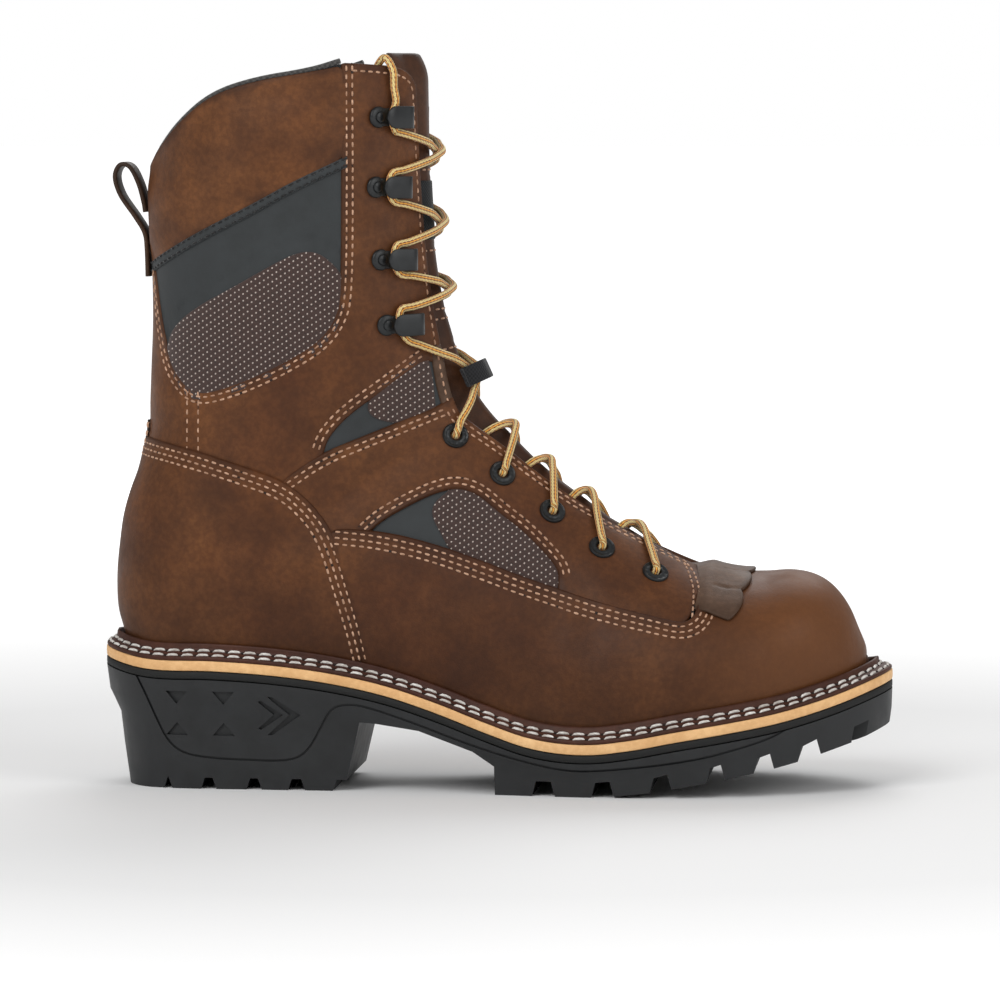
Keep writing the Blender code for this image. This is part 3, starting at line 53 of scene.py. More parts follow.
# Leather
WALL = 0.0020
COUNTER_LEATHER = 0.0021
VAMP_LEATHER = 0.0019
TONGUE_LEATHER = 0.0032
TONGUE_UNDERLAP = 0.0070
SEAM_GAP = 0.0003
SEAT_GAP = 0.0006
TONGUE_GAP = 0.0019
INSOLE_GAP = 0.0036

# Sole
WELT_SIDE = 0.0072
WELT_HEEL = 0.0082
WELT_TOE = 0.0106
WELT_RIB = 0.0056
RIB_WIDTH = 0.0024
LEAN_LIMIT = 0.0080
LEAN_FADE = 0.06
WELT_PITCH = 0.0062
LEAN_TIP = 0.0016
MIDSOLE = 0.0040
FOAM = 0.0030
LUG_DEPTH = 0.0060
HEEL_LUG_DEPTH = 0.0045
CHANNEL = 0.0070
CHANNEL_CENTRES = (-0.36, 0.40)
CHANNEL_START = 0.500
TOE_TREAD = (0.959, 1.0)
HEEL_TAPER_BACK = 0.0120
HEEL_TAPER_SIDE = 0.0035
EDGE_TAPER = 0.0022

# Hardware and lace
EYELET_RADIUS = 0.0053
EYELET_HOLE = 0.0020
EYELET_BARREL = 0.0026
HOOK_WIDTH = 0.0085
HOOK_LENGTH = 0.0120
HOOK_SHEET = 0.0010
HOOK_CORNER = 0.00034
HOOK_MOUTH = 0.0038
HOOK_BASE_RADIUS = 0.0042
LACE_RADIUS = 0.0015
LACE_LIFT = 0.0007
KILTIE_LEATHER = 0.0018
LOOP_WIDTH = 0.0140
LOOP_STRAP = 0.0018
KEEPER_STRAP = 0.0012
KEEPER_LENGTH = 0.0080
KEEPER_HALF = 0.0135

# Form of the upper
BULGE = 1.03
TOE_SKEW = 0.143
PIVOT = (0.642, 0.655)
FORM_TOP = 1.05

# Plan of the sole's edge: q runs from the heel's back (0) to the toe's tip (1).
# The two widths are shares of half the ball width.
OUTLINE = (
    # q, lateral, medial
    (0.00, 0.000, 0.000),
    (0.05, 0.211, 0.211),
    (0.10, 0.402, 0.402),
    (0.15, 0.550, 0.550),
    (0.20, 0.643, 0.638),
    (0.30, 0.700, 0.680),
    (0.40, 0.735, 0.634),
    (0.50, 0.850, 0.684),
    (0.58, 0.968, 0.830),
    (0.64, 1.000, 0.955),
    (0.70, 0.950, 1.000),
    (0.75, 0.835, 0.980),
    (0.80, 0.680, 0.895),
    (0.85, 0.490, 0.750),
    (0.90, 0.280, 0.570),
    (0.95, 0.070, 0.362),
    (1.00, -TOE_SKEW, TOE_SKEW),
)

# Side view of the midsole's top: share of the length from the heel, share of the seat height.
SOLE_LINE = (
    # length, height
    (0.000, 1.074), (0.057, 1.012), (0.152, 1.000), (0.231, 0.969), (0.310, 0.904), (0.373, 0.820),
    (0.437, 0.695), (0.500, 0.551), (0.547, 0.457), (0.595, 0.412), (0.633, 0.410), (0.674, 0.441),
    (0.737, 0.514), (0.801, 0.580), (0.864, 0.652), (0.927, 0.756), (1.000, 0.908),
)

# Side view of the forefoot lugs' bottoms, in the same shares. The flat stretch stands on the floor.
TREAD_LINE = (
    # length, height
    (0.450, 0.000), (0.640, 0.000), (0.700, 0.040), (0.770, 0.115), (0.830, 0.185),
    (0.884, 0.262), (0.921, 0.330), (0.959, 0.400), (1.000, 0.500),
)

# Shank between the heel's breast and the forefoot, in the same shares.
SHANK_LINE = (
    # length, height
    (0.337, 0.540), (0.358, 0.531), (0.412, 0.484), (0.481, 0.332), (0.508, 0.221),
)

# Lugs from the side: where each begins and ends, as shares of the length.
HEEL_LUGS = ((0.030, 0.086), (0.097, 0.134), (0.154, 0.192), (0.212, 0.245), (0.267, 0.302))
HEEL_BREAST = 0.320
FORE_LUGS = ((0.509, 0.556), (0.585, 0.631), (0.659, 0.704), (0.731, 0.774), (0.797, 0.832), (0.857, 0.886),
             (0.914, 1.050))
LUG_LEAN = 0.005

# Back of the heel and shaft: height as a share of the top height, how far it stands in front of the
# foot's back point as a share of the length.
BACK_LINE = (
    # height, set-in
    (0.100, 0.0020), (0.180, -0.0010), (0.213, -0.0045), (0.238, -0.0105), (0.274, -0.0125), (0.333, -0.0085),
    (0.372, -0.0030), (0.403, 0.0055), (0.431, 0.0150), (0.455, 0.0205), (0.485, 0.0260), (0.528, 0.0272),
    (0.579, 0.0290), (0.631, 0.0310), (0.717, 0.0304), (0.807, 0.0276), (0.862, 0.0282), (1.050, 0.0285),
)

# Sections of the upper from the toe to the shaft's top. Each passes through a point of the front ridge.
# length and height place that point. centre, lateral and medial are shares of half the ball width, and
# a width of None follows the foot's edge on the sole. widest says where along the section, from the sole
# or back to the ridge, it is widest. low and high are the powers of its lower and upper curve.
SECTIONS = (
    # length, height, centre, lateral, medial, widest, low, high
    (0.9560, 0.1790, TOE_SKEW, None, None, 0.30, 2.0, 2.8),
    (0.9480, 0.2150, TOE_SKEW, None, None, 0.30, 2.0, 2.8),
    (0.9390, 0.2380, TOE_SKEW, None, None, 0.32, 2.0, 2.8),
    (0.9270, 0.2580, 0.141, None, None, 0.33, 2.0, 2.8),
    (0.9140, 0.2720, 0.140, None, None, 0.34, 2.0, 2.8),
    (0.8970, 0.2820, 0.138, None, None, 0.34, 2.0, 2.7),
    (0.8740, 0.2868, 0.135, None, None, 0.34, 2.0, 2.6),
    (0.8390, 0.2850, 0.130, None, None, 0.32, 2.0, 2.4),
    (0.8100, 0.2855, 0.125, None, None, 0.30, 2.0, 2.2),
    (0.7780, 0.2920, 0.118, None, None, 0.28, 2.0, 2.0),
    (0.7450, 0.3060, 0.110, None, None, 0.26, 2.0, 1.85),
    (0.7000, 0.3310, 0.100, None, None, 0.25, 2.0, 1.7),
    (0.6520, 0.3620, 0.088, None, None, 0.25, 2.0, 1.6),
    (0.6100, 0.3950, 0.075, 0.830, 0.700, 0.26, 2.0, 1.6),
    (0.5780, 0.4210, 0.065, 0.790, 0.655, 0.28, 2.0, 1.6),
    (0.5510, 0.4460, 0.055, 0.750, 0.625, 0.30, 2.0, 1.65),
    (0.5190, 0.4810, 0.045, 0.700, 0.605, 0.33, 2.1, 1.7),
    (0.4920, 0.5120, 0.036, 0.665, 0.600, 0.36, 2.2, 1.75),
    (0.4715, 0.5430, 0.028, 0.640, 0.605, 0.39, 2.3, 1.8),
    (0.4590, 0.5710, 0.020, 0.635, 0.615, 0.42, 2.3, 1.9),
    (0.4490, 0.5980, 0.014, 0.640, 0.630, 0.45, 2.3, 1.95),
    (0.4400, 0.6310, 0.008, 0.655, 0.650, 0.48, 2.3, 2.0),
    (0.4320, 0.6620, 0.004, 0.680, 0.678, 0.50, 2.3, 2.1),
    (0.4215, 0.7310, 0.000, 0.715, 0.715, 0.52, 2.3, 2.2),
    (0.4170, 0.7930, 0.000, 0.745, 0.745, 0.52, 2.3, 2.2),
    (0.4140, 0.8600, 0.000, 0.775, 0.775, 0.52, 2.3, 2.2),
    (0.4130, 0.9200, 0.000, 0.795, 0.795, 0.52, 2.3, 2.2),
    (0.4110, 1.0500, 0.000, 0.815, 0.815, 0.52, 2.3, 2.2),
)

# Half the throat's opening: height of the ridge as a share of the top height, share of half the ball width.
THROAT = (
    # height, half opening
    (0.300, 0.190), (0.360, 0.215), (0.450, 0.230), (0.530, 0.250), (0.620, 0.250), (0.750, 0.260),
    (0.850, 0.285), (0.950, 0.320), (1.050, 0.350),
)
THROAT_END = 0.748

# Side-view outlines of the panels, as shares of the length from the heel and of the top height.
COLLAR_LINE = ((-0.050, 0.790), (0.040, 0.815), (0.056, 0.843), (0.080, 0.878), (0.109, 0.913), (0.151, 0.949),
               (0.208, 0.969), (0.278, 0.981), (0.315, 0.994), (0.371, 0.990), (0.387, 0.985), (0.396, 0.974),
               (0.401, 0.955), (0.440, 0.860))
COUNTER_LINE = ((0.000, 0.484), (0.048, 0.481), (0.122, 0.467), (0.195, 0.443), (0.238, 0.426), (0.266, 0.404),
                (0.294, 0.369), (0.312, 0.331), (0.330, 0.270), (0.344, 0.221), (0.352, 0.182), (0.362, 0.080))
VAMP_LINE = ((0.304, 0.362), (0.361, 0.356), (0.425, 0.340), (0.489, 0.316), (0.554, 0.288), (0.650, 0.255),
             (0.699, 0.242), (0.730, 0.2335), (0.744, 0.2318), (0.754, 0.238), (0.7585, 0.252), (0.7605, 0.330))
QUARTER_LINE = ((0.238, 0.426), (0.286, 0.462), (0.336, 0.484), (0.404, 0.514), (0.432, 0.526), (0.470, 0.560))
QUARTER_FRONT = ((0.745, 0.330), (0.752, 0.296), (0.763, 0.279), (0.768, 0.263), (0.766, 0.200))
WINDOW_HIGH = ((0.315, 0.850), (0.313, 0.677), (0.303, 0.643), (0.283, 0.615), (0.241, 0.587), (0.193, 0.562),
               (0.150, 0.546), (0.132, 0.544), (0.115, 0.553), (0.096, 0.581), (0.087, 0.613), (0.078, 0.657),
               (0.072, 0.703), (0.069, 0.716), (0.110, 0.743), (0.179, 0.782), (0.244, 0.820), (0.316, 0.858))
COLLAR_PANEL_LINE = ((0.069, 0.716), (0.110, 0.743), (0.179, 0.782), (0.244, 0.820))

# Lacing levels on each side, as shares of the length and the top height.
HOOKS = ((0.372, 0.920), (0.370, 0.825), (0.376, 0.726), (0.384, 0.638))
EYELETS = ((0.450, 0.481), (0.509, 0.429), (0.572, 0.377), (0.636, 0.328), (0.703, 0.294))

# Pull loop: how far its middle stands out from the shaft's back, and its height as a share of the top height.
LOOP_PATH = (
    # stand-off, height
    (0.0000, 0.700), (0.0000, 0.735), (0.0006, 0.760), (0.0042, 0.783), (0.0100, 0.813), (0.0122, 0.838),
    (0.0102, 0.854), (0.0062, 0.851), (0.0026, 0.828), (0.0006, 0.803), (0.0000, 0.789),
)

HEEL_X = -BOOT_LENGTH / 2
HALF_BALL = BALL_WIDTH / 2
PIVOT_X = HEEL_X + PIVOT[0] * BOOT_LENGTH
PIVOT_Z = PIVOT[1] * TOP_HEIGHT
FORM_Z = FORM_TOP * TOP_HEIGHT
HOOK_CLEAR = HOOK_WIDTH / 2 + LACE_RADIUS + SEAM_GAP
UNDER = max(COUNTER_LEATHER, VAMP_LEATHER) + SEAM_GAP
REACH = BOOT_LENGTH


def smooth_curve(rows, column=1):
    """Cubic curve through rows of (place, value, ...), with slopes weighted between the neighbours."""
    place = np.array([row[0] for row in rows], float)
    value = np.array([row[column] for row in rows], float)
    step = np.diff(place)
    slope = np.diff(value) / step
    tangent = np.empty_like(value)
    tangent[0] = slope[0]
    tangent[-1] = slope[-1]
    tangent[1:-1] = (slope[:-1] * step[1:] + slope[1:] * step[:-1]) / (step[1:] + step[:-1])

    def curve(at):
        at = np.clip(np.asarray(at, float), place[0], place[-1])
        i = np.clip(np.searchsorted(place, at, side="right") - 1, 0, len(step) - 1)
        u = (at - place[i]) / step[i]
        start = (1 + 2 * u) * (1 - u) ** 2 * value[i] + u * (1 - u) ** 2 * step[i] * tangent[i]
        end = u * u * (3 - 2 * u) * value[i + 1] + u * u * (u - 1) * step[i] * tangent[i + 1]
        return start + end
    return curve


SOLE_CURVE = smooth_curve(SOLE_LINE)
TREAD_CURVE = smooth_curve(TREAD_LINE)
BACK_CURVE = smooth_curve(BACK_LINE)
THROAT_CURVE = smooth_curve(THROAT)
EDGE_CURVES = {-1: smooth_curve(OUTLINE, 1), 1: smooth_curve(OUTLINE, 2)}


def side_point(row):
    """Side-view point (x, z) of a row of shares of the length and the top height."""
    return HEEL_X + row[0] * BOOT_LENGTH, row[1] * TOP_HEIGHT


def seat_line(x):
    """Height of the midsole's top at x."""
    return SEAT_HEIGHT * SOLE_CURVE((np.asarray(x) - HEEL_X) / BOOT_LENGTH)


def sole_edge(q, side, inset):
    """Plan points of the sole's edge at share q, moved inward by inset."""
    q = np.asarray(q, float)

    def at(share):
        x = HEEL_X + BOOT_LENGTH * (1 - np.cos(math.pi * share)) / 2
        return np.stack([x, side * HALF_BALL * EDGE_CURVES[side](share)], -1)

    small = 1e-3
    along = at(np.clip(q + small, 0, 1)) - at(np.clip(q - small, 0, 1))
    along[q <= 0] = [0, side]
    along[q >= 1] = [0, -side]
    along /= np.linalg.norm(along, axis=-1, keepdims=True)
    inward = np.stack([along[..., 1], -along[..., 0]], -1) * side
    return at(q) + np.asarray(inset)[..., None] * inward


def welt_width(q):
    """Width of the welt from the sole's edge to the leather that stands on it."""
    q = np.asarray(q, float)
    heel = np.clip(1 - q / 0.3, 0, 1) ** 2
    toe = np.clip((q - 0.7) / 0.3, 0, 1) ** 2
    return WELT_SIDE + (WELT_HEEL - WELT_SIDE) * heel + (WELT_TOE - WELT_SIDE) * toe


FINE = np.linspace(0, 1, 801)
FOOT = {side: sole_edge(FINE, side, welt_width(FINE) + UNDER) for side in (-1, 1)}
FOOT_BACK = FOOT[1][0, 0]
FOOT_TIP = FOOT[1][-1, 0]


def foot_edge(x, side):
    """Y of the upper's edge on the midsole at x."""
    return np.interp(x, FOOT[side][:, 0], FOOT[side][:, 1])


def back_x(z):
    """X of the upper's back at height z."""
    return FOOT_BACK + BOOT_LENGTH * BACK_CURVE(np.asarray(z) / TOP_HEIGHT)


def section_of(x, z):
    """Section s through a side-view point, and the distance r of the point back along it.

    s runs 0 to 1 over the upright sections from the toe to the pivot, 1 to 2 over the fan of
    sections around the pivot, and 2 to 3 over the level sections up the shaft.
    """
    x = np.asarray(x, float)
    z = np.asarray(z, float)
    upright = np.clip(1 - (FOOT_TIP - x) / (FOOT_TIP - PIVOT_X), -1, 1)
    foot = (np.arccos(upright) * 2 / math.pi, PIVOT_Z - z)
    fan = (1 + np.arctan2(PIVOT_X - x, PIVOT_Z - z) * 2 / math.pi, np.hypot(PIVOT_X - x, PIVOT_Z - z))
    leg = (2 + (z - PIVOT_Z) / (FORM_Z - PIVOT_Z), PIVOT_X - x)
    return tuple(np.where(x >= PIVOT_X, a, np.where(z >= PIVOT_Z, c, b)) for a, b, c in zip(foot, fan, leg))


def point_of(s, r):
    """Side-view point (x, z) at distance r back along section s."""
    s = np.asarray(s, float)
    r = np.asarray(r, float)
    angle = np.clip(s - 1, 0, 1) * math.pi / 2
    foot_x = FOOT_TIP - (FOOT_TIP - PIVOT_X) * (1 - np.cos(np.clip(s, 0, 1) * math.pi / 2))
    leg_z = PIVOT_Z + (s - 2) * (FORM_Z - PIVOT_Z)
    x = np.where(s <= 1, foot_x, np.where(s >= 2, PIVOT_X - r, PIVOT_X - r * np.sin(angle)))
    z = np.where(s <= 1, PIVOT_Z - r, np.where(s >= 2, leg_z, PIVOT_Z - r * np.cos(angle)))
    return x, z


def section_columns():
    """Smooth curves over s for each column of the table of sections."""
    rows = []
    for length, height, *rest in SECTIONS:
        s, r = section_of(min(HEEL_X + length * BOOT_LENGTH, FOOT_TIP), height * TOP_HEIGHT)
        rows.append((float(s), float(r), *rest))
    rows[0] = (0.0, *rows[0][1:])
    rows.sort(key=lambda row: row[0])
    columns = {
        "ridge": smooth_curve(rows, 1),
        "centre": smooth_curve([(row[0], row[2] * HALF_BALL) for row in rows]),
        "widest": smooth_curve(rows, 5),
        "low": smooth_curve(rows, 6),
        "high": smooth_curve(rows, 7),
    }
    upright = np.linspace(0, 1, 25)
    foot_x, _ = point_of(upright, 0.0)
    for side, column in ((-1, 3), (1, 4)):
        foot = np.abs(foot_edge(foot_x, side) - columns["centre"](upright)) * BULGE
        widths = list(zip(upright, foot))
        widths += [(row[0], row[column] * HALF_BALL) for row in rows if row[column] and row[0] > 1.02]
        columns[side] = smooth_curve(widths)
    return columns


COLUMNS = section_columns()


def find_ends(s):
    """Distance along section s to the sole or the back, and whether it ends on the back, by halving."""
    near = COLUMNS["ridge"](s)
    far = np.full(s.shape, REACH)
    for _ in range(50):
        middle = (near + far) / 2
        x, z = point_of(s, middle)
        inside = (z > seat_line(x) + SEAT_GAP) & (x > back_x(z))
        near = np.where(inside, middle, near)
        far = np.where(inside, far, middle)
    x, z = point_of(s, near)
    return near, z > seat_line(x) + SEAT_GAP + 2e-4


S_FINE = np.linspace(0, 3, 9001)
END_FINE, CLOSED_FINE = find_ends(S_FINE)


def section_end(s):
    """The same two values as find_ends gives, from the fine table."""
    return np.interp(s, S_FINE, END_FINE), np.interp(s, S_FINE, CLOSED_FINE.astype(float)) > 0.5


def half_width(s, t, side):
    """Half width of section s at share t from its end (0) to the ridge (1): two joined power curves."""
    end, closed = section_end(s)
    x, _ = point_of(s, end)
    width = COLUMNS[side](s)
    widest = COLUMNS["widest"](s)
    on_sole = np.abs(foot_edge(x, side) - COLUMNS["centre"](s))
    at_end = np.where(closed | (s > 1.9), 0.0, np.minimum(on_sole, width))
    k = np.clip(1 - (at_end / np.maximum(width, 1e-6)) ** 2, 0, 1)
    low = np.clip((widest - t) / widest, 0, 1)
    high = np.clip((t - widest) / (1 - widest), 0, 1)
    curve = np.where(t < widest, 1 - k * low ** COLUMNS["low"](s), 1 - high ** COLUMNS["high"](s))
    return width * np.sqrt(np.clip(curve, 0, 1))


def form(s, turn, side):
    """Point of the upper's outer form: turn runs from the ridge (0) to the sole or the back (1)."""
    s, turn = np.broadcast_arrays(np.asarray(s, float), np.asarray(turn, float))
    t = (1 + np.cos(math.pi * turn)) / 2
    end, _ = section_end(s)
    x, z = point_of(s, end + t * (COLUMNS["ridge"](s) - end))
    y = COLUMNS["centre"](s) + side * half_width(s, t, side)
    return np.stack([x, y, z], -1)


def form_normal(s, turn, side):
    """Outward direction of the form, from the steps along its two parameters."""
    small = 2e-3
    along = form(np.clip(s + small, 0, 3), turn, side) - form(np.clip(s - small, 0, 3), turn, side)
    around = form(s, np.clip(turn + 5 * small, 0, 1), side) - form(s, np.clip(turn - 5 * small, 0, 1), side)
    normal = np.cross(around, along) * side
    middle = (turn <= 1e-6) | (s <= 1e-9) | ((turn >= 1 - 1e-6) & section_end(s)[1])
    normal[..., 1] = np.where(middle, 0.0, normal[..., 1])
    return normal / np.linalg.norm(normal, axis=-1, keepdims=True)


def on_side(x, z):
    """Parameters (s, turn) of the form at side-view points."""
    s, r = section_of(x, z)
    end, _ = section_end(s)
    t = np.clip((end - r) / (end - COLUMNS["ridge"](s)), 0, 1)
    return s, np.arccos(2 * t - 1) / math.pi


def throat_turn(s, side):
    """How far the throat's edge is turned from the ridge on section s."""
    s = np.asarray(s, float)
    _, z = point_of(s, COLUMNS["ridge"](s))
    opening = THROAT_CURVE(z / TOP_HEIGHT) * HALF_BALL
    near = np.zeros(s.shape)
    far = np.full(s.shape, 0.5)
    for _ in range(24):
        middle = (near + far) / 2
        inside = np.abs(form(s, middle, side)[..., 1] - COLUMNS["centre"](s)) < opening
        near = np.where(inside, middle, near)
        far = np.where(inside, far, middle)
    return near


# Flat coordinates of a sheet on the form are (s, across). With fold 0, across is the turn from the ridge;
# with fold 1, it is the turn from the back. It is negative on the lateral side.
def on_form(flat, fold, height=None):
    """Points at a height over the form, from flat coordinates."""
    s = flat[:, 0]
    turn = np.abs(fold - np.abs(flat[:, 1]))
    lateral = flat[:, 1] < 0
    out = np.empty((len(s), 3))
    for side, here in ((-1, lateral), (1, ~lateral)):
        if here.any():
            place = form(s[here], turn[here], side)
            if height is not None:
                lift = np.broadcast_to(height, s.shape)[here]
                place = place + form_normal(s[here], turn[here], side) * lift[:, None]
            out[here] = place
    return out


def normals_on(flat, fold):
    """Outward directions of the form at flat coordinates."""
    turn = np.abs(fold - np.abs(flat[:, 1]))
    lateral = (flat[:, 1] < 0)[:, None]
    return np.where(lateral, form_normal(flat[:, 0], turn, -1), form_normal(flat[:, 0], turn, 1))


def slopes(flat, fold):
    """Metres moved per unit of s and per unit of across."""
    out = []
    for k in (0, 1):
        ahead = flat.copy()
        behind = flat.copy()
        ahead[:, k] += 2e-3
        behind[:, k] -= 2e-3
        for moved in (ahead, behind):
            moved[:, 0] = np.clip(moved[:, 0], 0, 3)
            moved[:, 1] = np.clip(moved[:, 1], -1, 1)
        span = np.maximum(ahead[:, k] - behind[:, k], 1e-6)
        out.append((on_form(ahead, fold) - on_form(behind, fold)) / span[:, None])
    return out


def beside(flat, distance, fold, hand, closed=False, rounds=3):
    """Path moved sideways over the form: the step in space is square to the path, and least squares turns
    it into s and across. hand 1 moves to the left of the path in flat coordinates."""
    out = flat.copy()
    distance = np.broadcast_to(distance, len(flat)) / rounds
    for _ in range(rounds):
        place = on_form(out, fold)
        along = np.roll(place, -1, 0) - np.roll(place, 1, 0) if closed else np.gradient(place, axis=0)
        along /= np.maximum(np.linalg.norm(along, axis=1, keepdims=True), 1e-9)
        by_s, by_a = slopes(out, fold)
        up = np.cross(by_s, by_a)
        up /= np.maximum(np.linalg.norm(up, axis=1, keepdims=True), 1e-12)
        step = np.cross(up, along) * (hand * distance)[:, None]
        aa, ab, bb = (by_s * by_s).sum(1), (by_s * by_a).sum(1), (by_a * by_a).sum(1)
        pa, pb = (by_s * step).sum(1), (by_a * step).sum(1)
        fall = np.maximum(aa * bb - ab * ab, 1e-12)
        out = out + np.column_stack([(pa * bb - pb * ab) / fall, (pb * aa - pa * ab) / fall])
        out[:, 0] = np.clip(out[:, 0], 0, 3)
        out[:, 1] = np.clip(out[:, 1], -1, 1)
    return out


def softened(points, times=2):
    """Path with its corners cut, its two ends kept: each pass takes points at a quarter and three quarters."""
    points = np.asarray(points, float)
    for _ in range(times):
        quarter = points[:-1] * 0.75 + points[1:] * 0.25
        further = points[:-1] * 0.25 + points[1:] * 0.75
        points = np.concatenate([points[:1], np.stack([quarter, further], 1).reshape(-1, 2), points[-1:]])
    return points


# How far panels are turned down to the sole: short of 1, where a step of turn no longer moves along the form
SOLE_TURN = 0.97


def traced(rows, side, fold=0, times=2):
    """Flat coordinates of a side-view line of shares, its corners softened."""
    x, z = side_point(np.array(rows, float).T)
    line = softened(np.column_stack([x, z]), times)
    run = np.r_[0, np.cumsum(np.linalg.norm(np.diff(line, axis=0), axis=1))]
    at = np.linspace(0, run[-1], int(run[-1] / 0.001) + 2)
    s, turn = on_side(np.interp(at, run, line[:, 0]), np.interp(at, run, line[:, 1]))
    turn = np.where(section_end(s)[1], turn, np.minimum(turn, SOLE_TURN))
    return np.column_stack([s, side * np.abs(fold - turn)])


def resampled(flat, fold, spacing, closed=True):
    """Path with points a spacing apart on the form."""
    if closed:
        flat = np.vstack([flat, flat[:1]])
    run = np.r_[0, np.cumsum(np.hypot(*np.diff(flat, axis=0).T))]
    keep = np.r_[True, np.diff(run) > 1e-9]
    flat, run = flat[keep], run[keep]
    fine = np.linspace(0, run[-1], int(run[-1] / 0.002) + 2)
    dense = np.column_stack([np.interp(fine, run, flat[:, k]) for k in (0, 1)])
    far = np.r_[0, np.cumsum(np.linalg.norm(np.diff(on_form(dense, fold), axis=0), axis=1))]
    count = max(int(round(far[-1] / spacing)), 8)
    at = np.linspace(0, far[-1], count, endpoint=not closed)
    return np.column_stack([np.interp(at, far, dense[:, k]) for k in (0, 1)])


def inside(points, loop):
    """Whether flat points lie inside a closed loop: an odd number of its edges is to their right."""
    ahead = np.roll(loop, -1, 0)
    rise = ahead[:, 1] - loop[:, 1]
    rise = np.where(np.abs(rise) < 1e-15, 1e-15, rise)
    found = []
    for part in np.array_split(points, max(1, len(points) * len(loop) // 4000000 + 1)):
        y = part[:, 1:2]
        crossing = (loop[:, 1] > y) != (ahead[:, 1] > y)
        at = loop[:, 0] + (y - loop[:, 1]) / rise * (ahead[:, 0] - loop[:, 0])
        found.append((crossing & (part[:, 0:1] < at)).sum(1) % 2 == 1)
    return np.concatenate(found)


def nearest(points, targets):
    """Distance from each point to the nearest target, in parts to save memory."""
    found = []
    square = (targets * targets).sum(1)
    for part in np.array_split(points, max(1, len(points) * len(targets) // 8000000 + 1)):
        apart = (part * part).sum(1)[:, None] + square - 2 * part @ targets.T
        found.append(np.sqrt(np.clip(apart.min(1), 0, None)))
    return np.concatenate(found)


def area_of(loop):
    """Signed area of a flat loop."""
    ahead = np.roll(loop, -1, 0)
    return 0.5 * (loop[:, 0] * ahead[:, 1] - ahead[:, 0] * loop[:, 1]).sum()


def new_piece(name, points, faces, material, replaced=(), edge=None, uv=None, smooth=True):
    """Mesh piece from points and faces of three or four corners. Equal points are welded first."""
    key = np.round(points / 2e-6).astype(np.int64)
    _, first, back = np.unique(key, axis=0, return_index=True, return_inverse=True)
    back = back.reshape(-1)
    points = points[first]
    tris = []
    for some in faces:
        some = back[np.asarray(some)]
        if some.shape[1] == 4:
            some = np.concatenate([some[:, [0, 1, 2]], some[:, [0, 2, 3]]])
        tris.append(some)
    tris = np.concatenate(tris)
    whole = (tris[:, 0] != tris[:, 1]) & (tris[:, 1] != tris[:, 2]) & (tris[:, 0] != tris[:, 2])
    tris = tris[whole]
    mesh = bpy.data.meshes.new(name)
    mesh.vertices.add(len(points))
    mesh.vertices.foreach_set("co", points.astype(np.float32).ravel())
    mesh.loops.add(tris.size)
    mesh.loops.foreach_set("vertex_index", tris.astype(np.int32).ravel())
    mesh.polygons.add(len(tris))
    mesh.polygons.foreach_set("loop_start", np.arange(0, tris.size, 3, dtype=np.int32))
    if edge is not None:
        attribute = mesh.attributes.new("edge", "FLOAT", "POINT")
        attribute.data.foreach_set("value", edge[first].astype(np.float32))
    if uv is not None:
        layer = mesh.uv_layers.new(name="UVMap")
        layer.data.foreach_set("uv", uv[first][tris.ravel()].astype(np.float32).ravel())
    mesh.update(calc_edges=True)
    mesh.validate()
    if smooth:
        mesh.shade_smooth()
    thing = bpy.data.objects.new(name, mesh)
    bpy.context.scene.collection.objects.link(thing)
    mesh.materials.append(material)
    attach(thing, "root")
    if replaced:
        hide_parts(*replaced)
    return thing


EDGE_REACH = 0.010
ROW_DEPTH = 0.00032
ROW_SPREAD = 0.0008


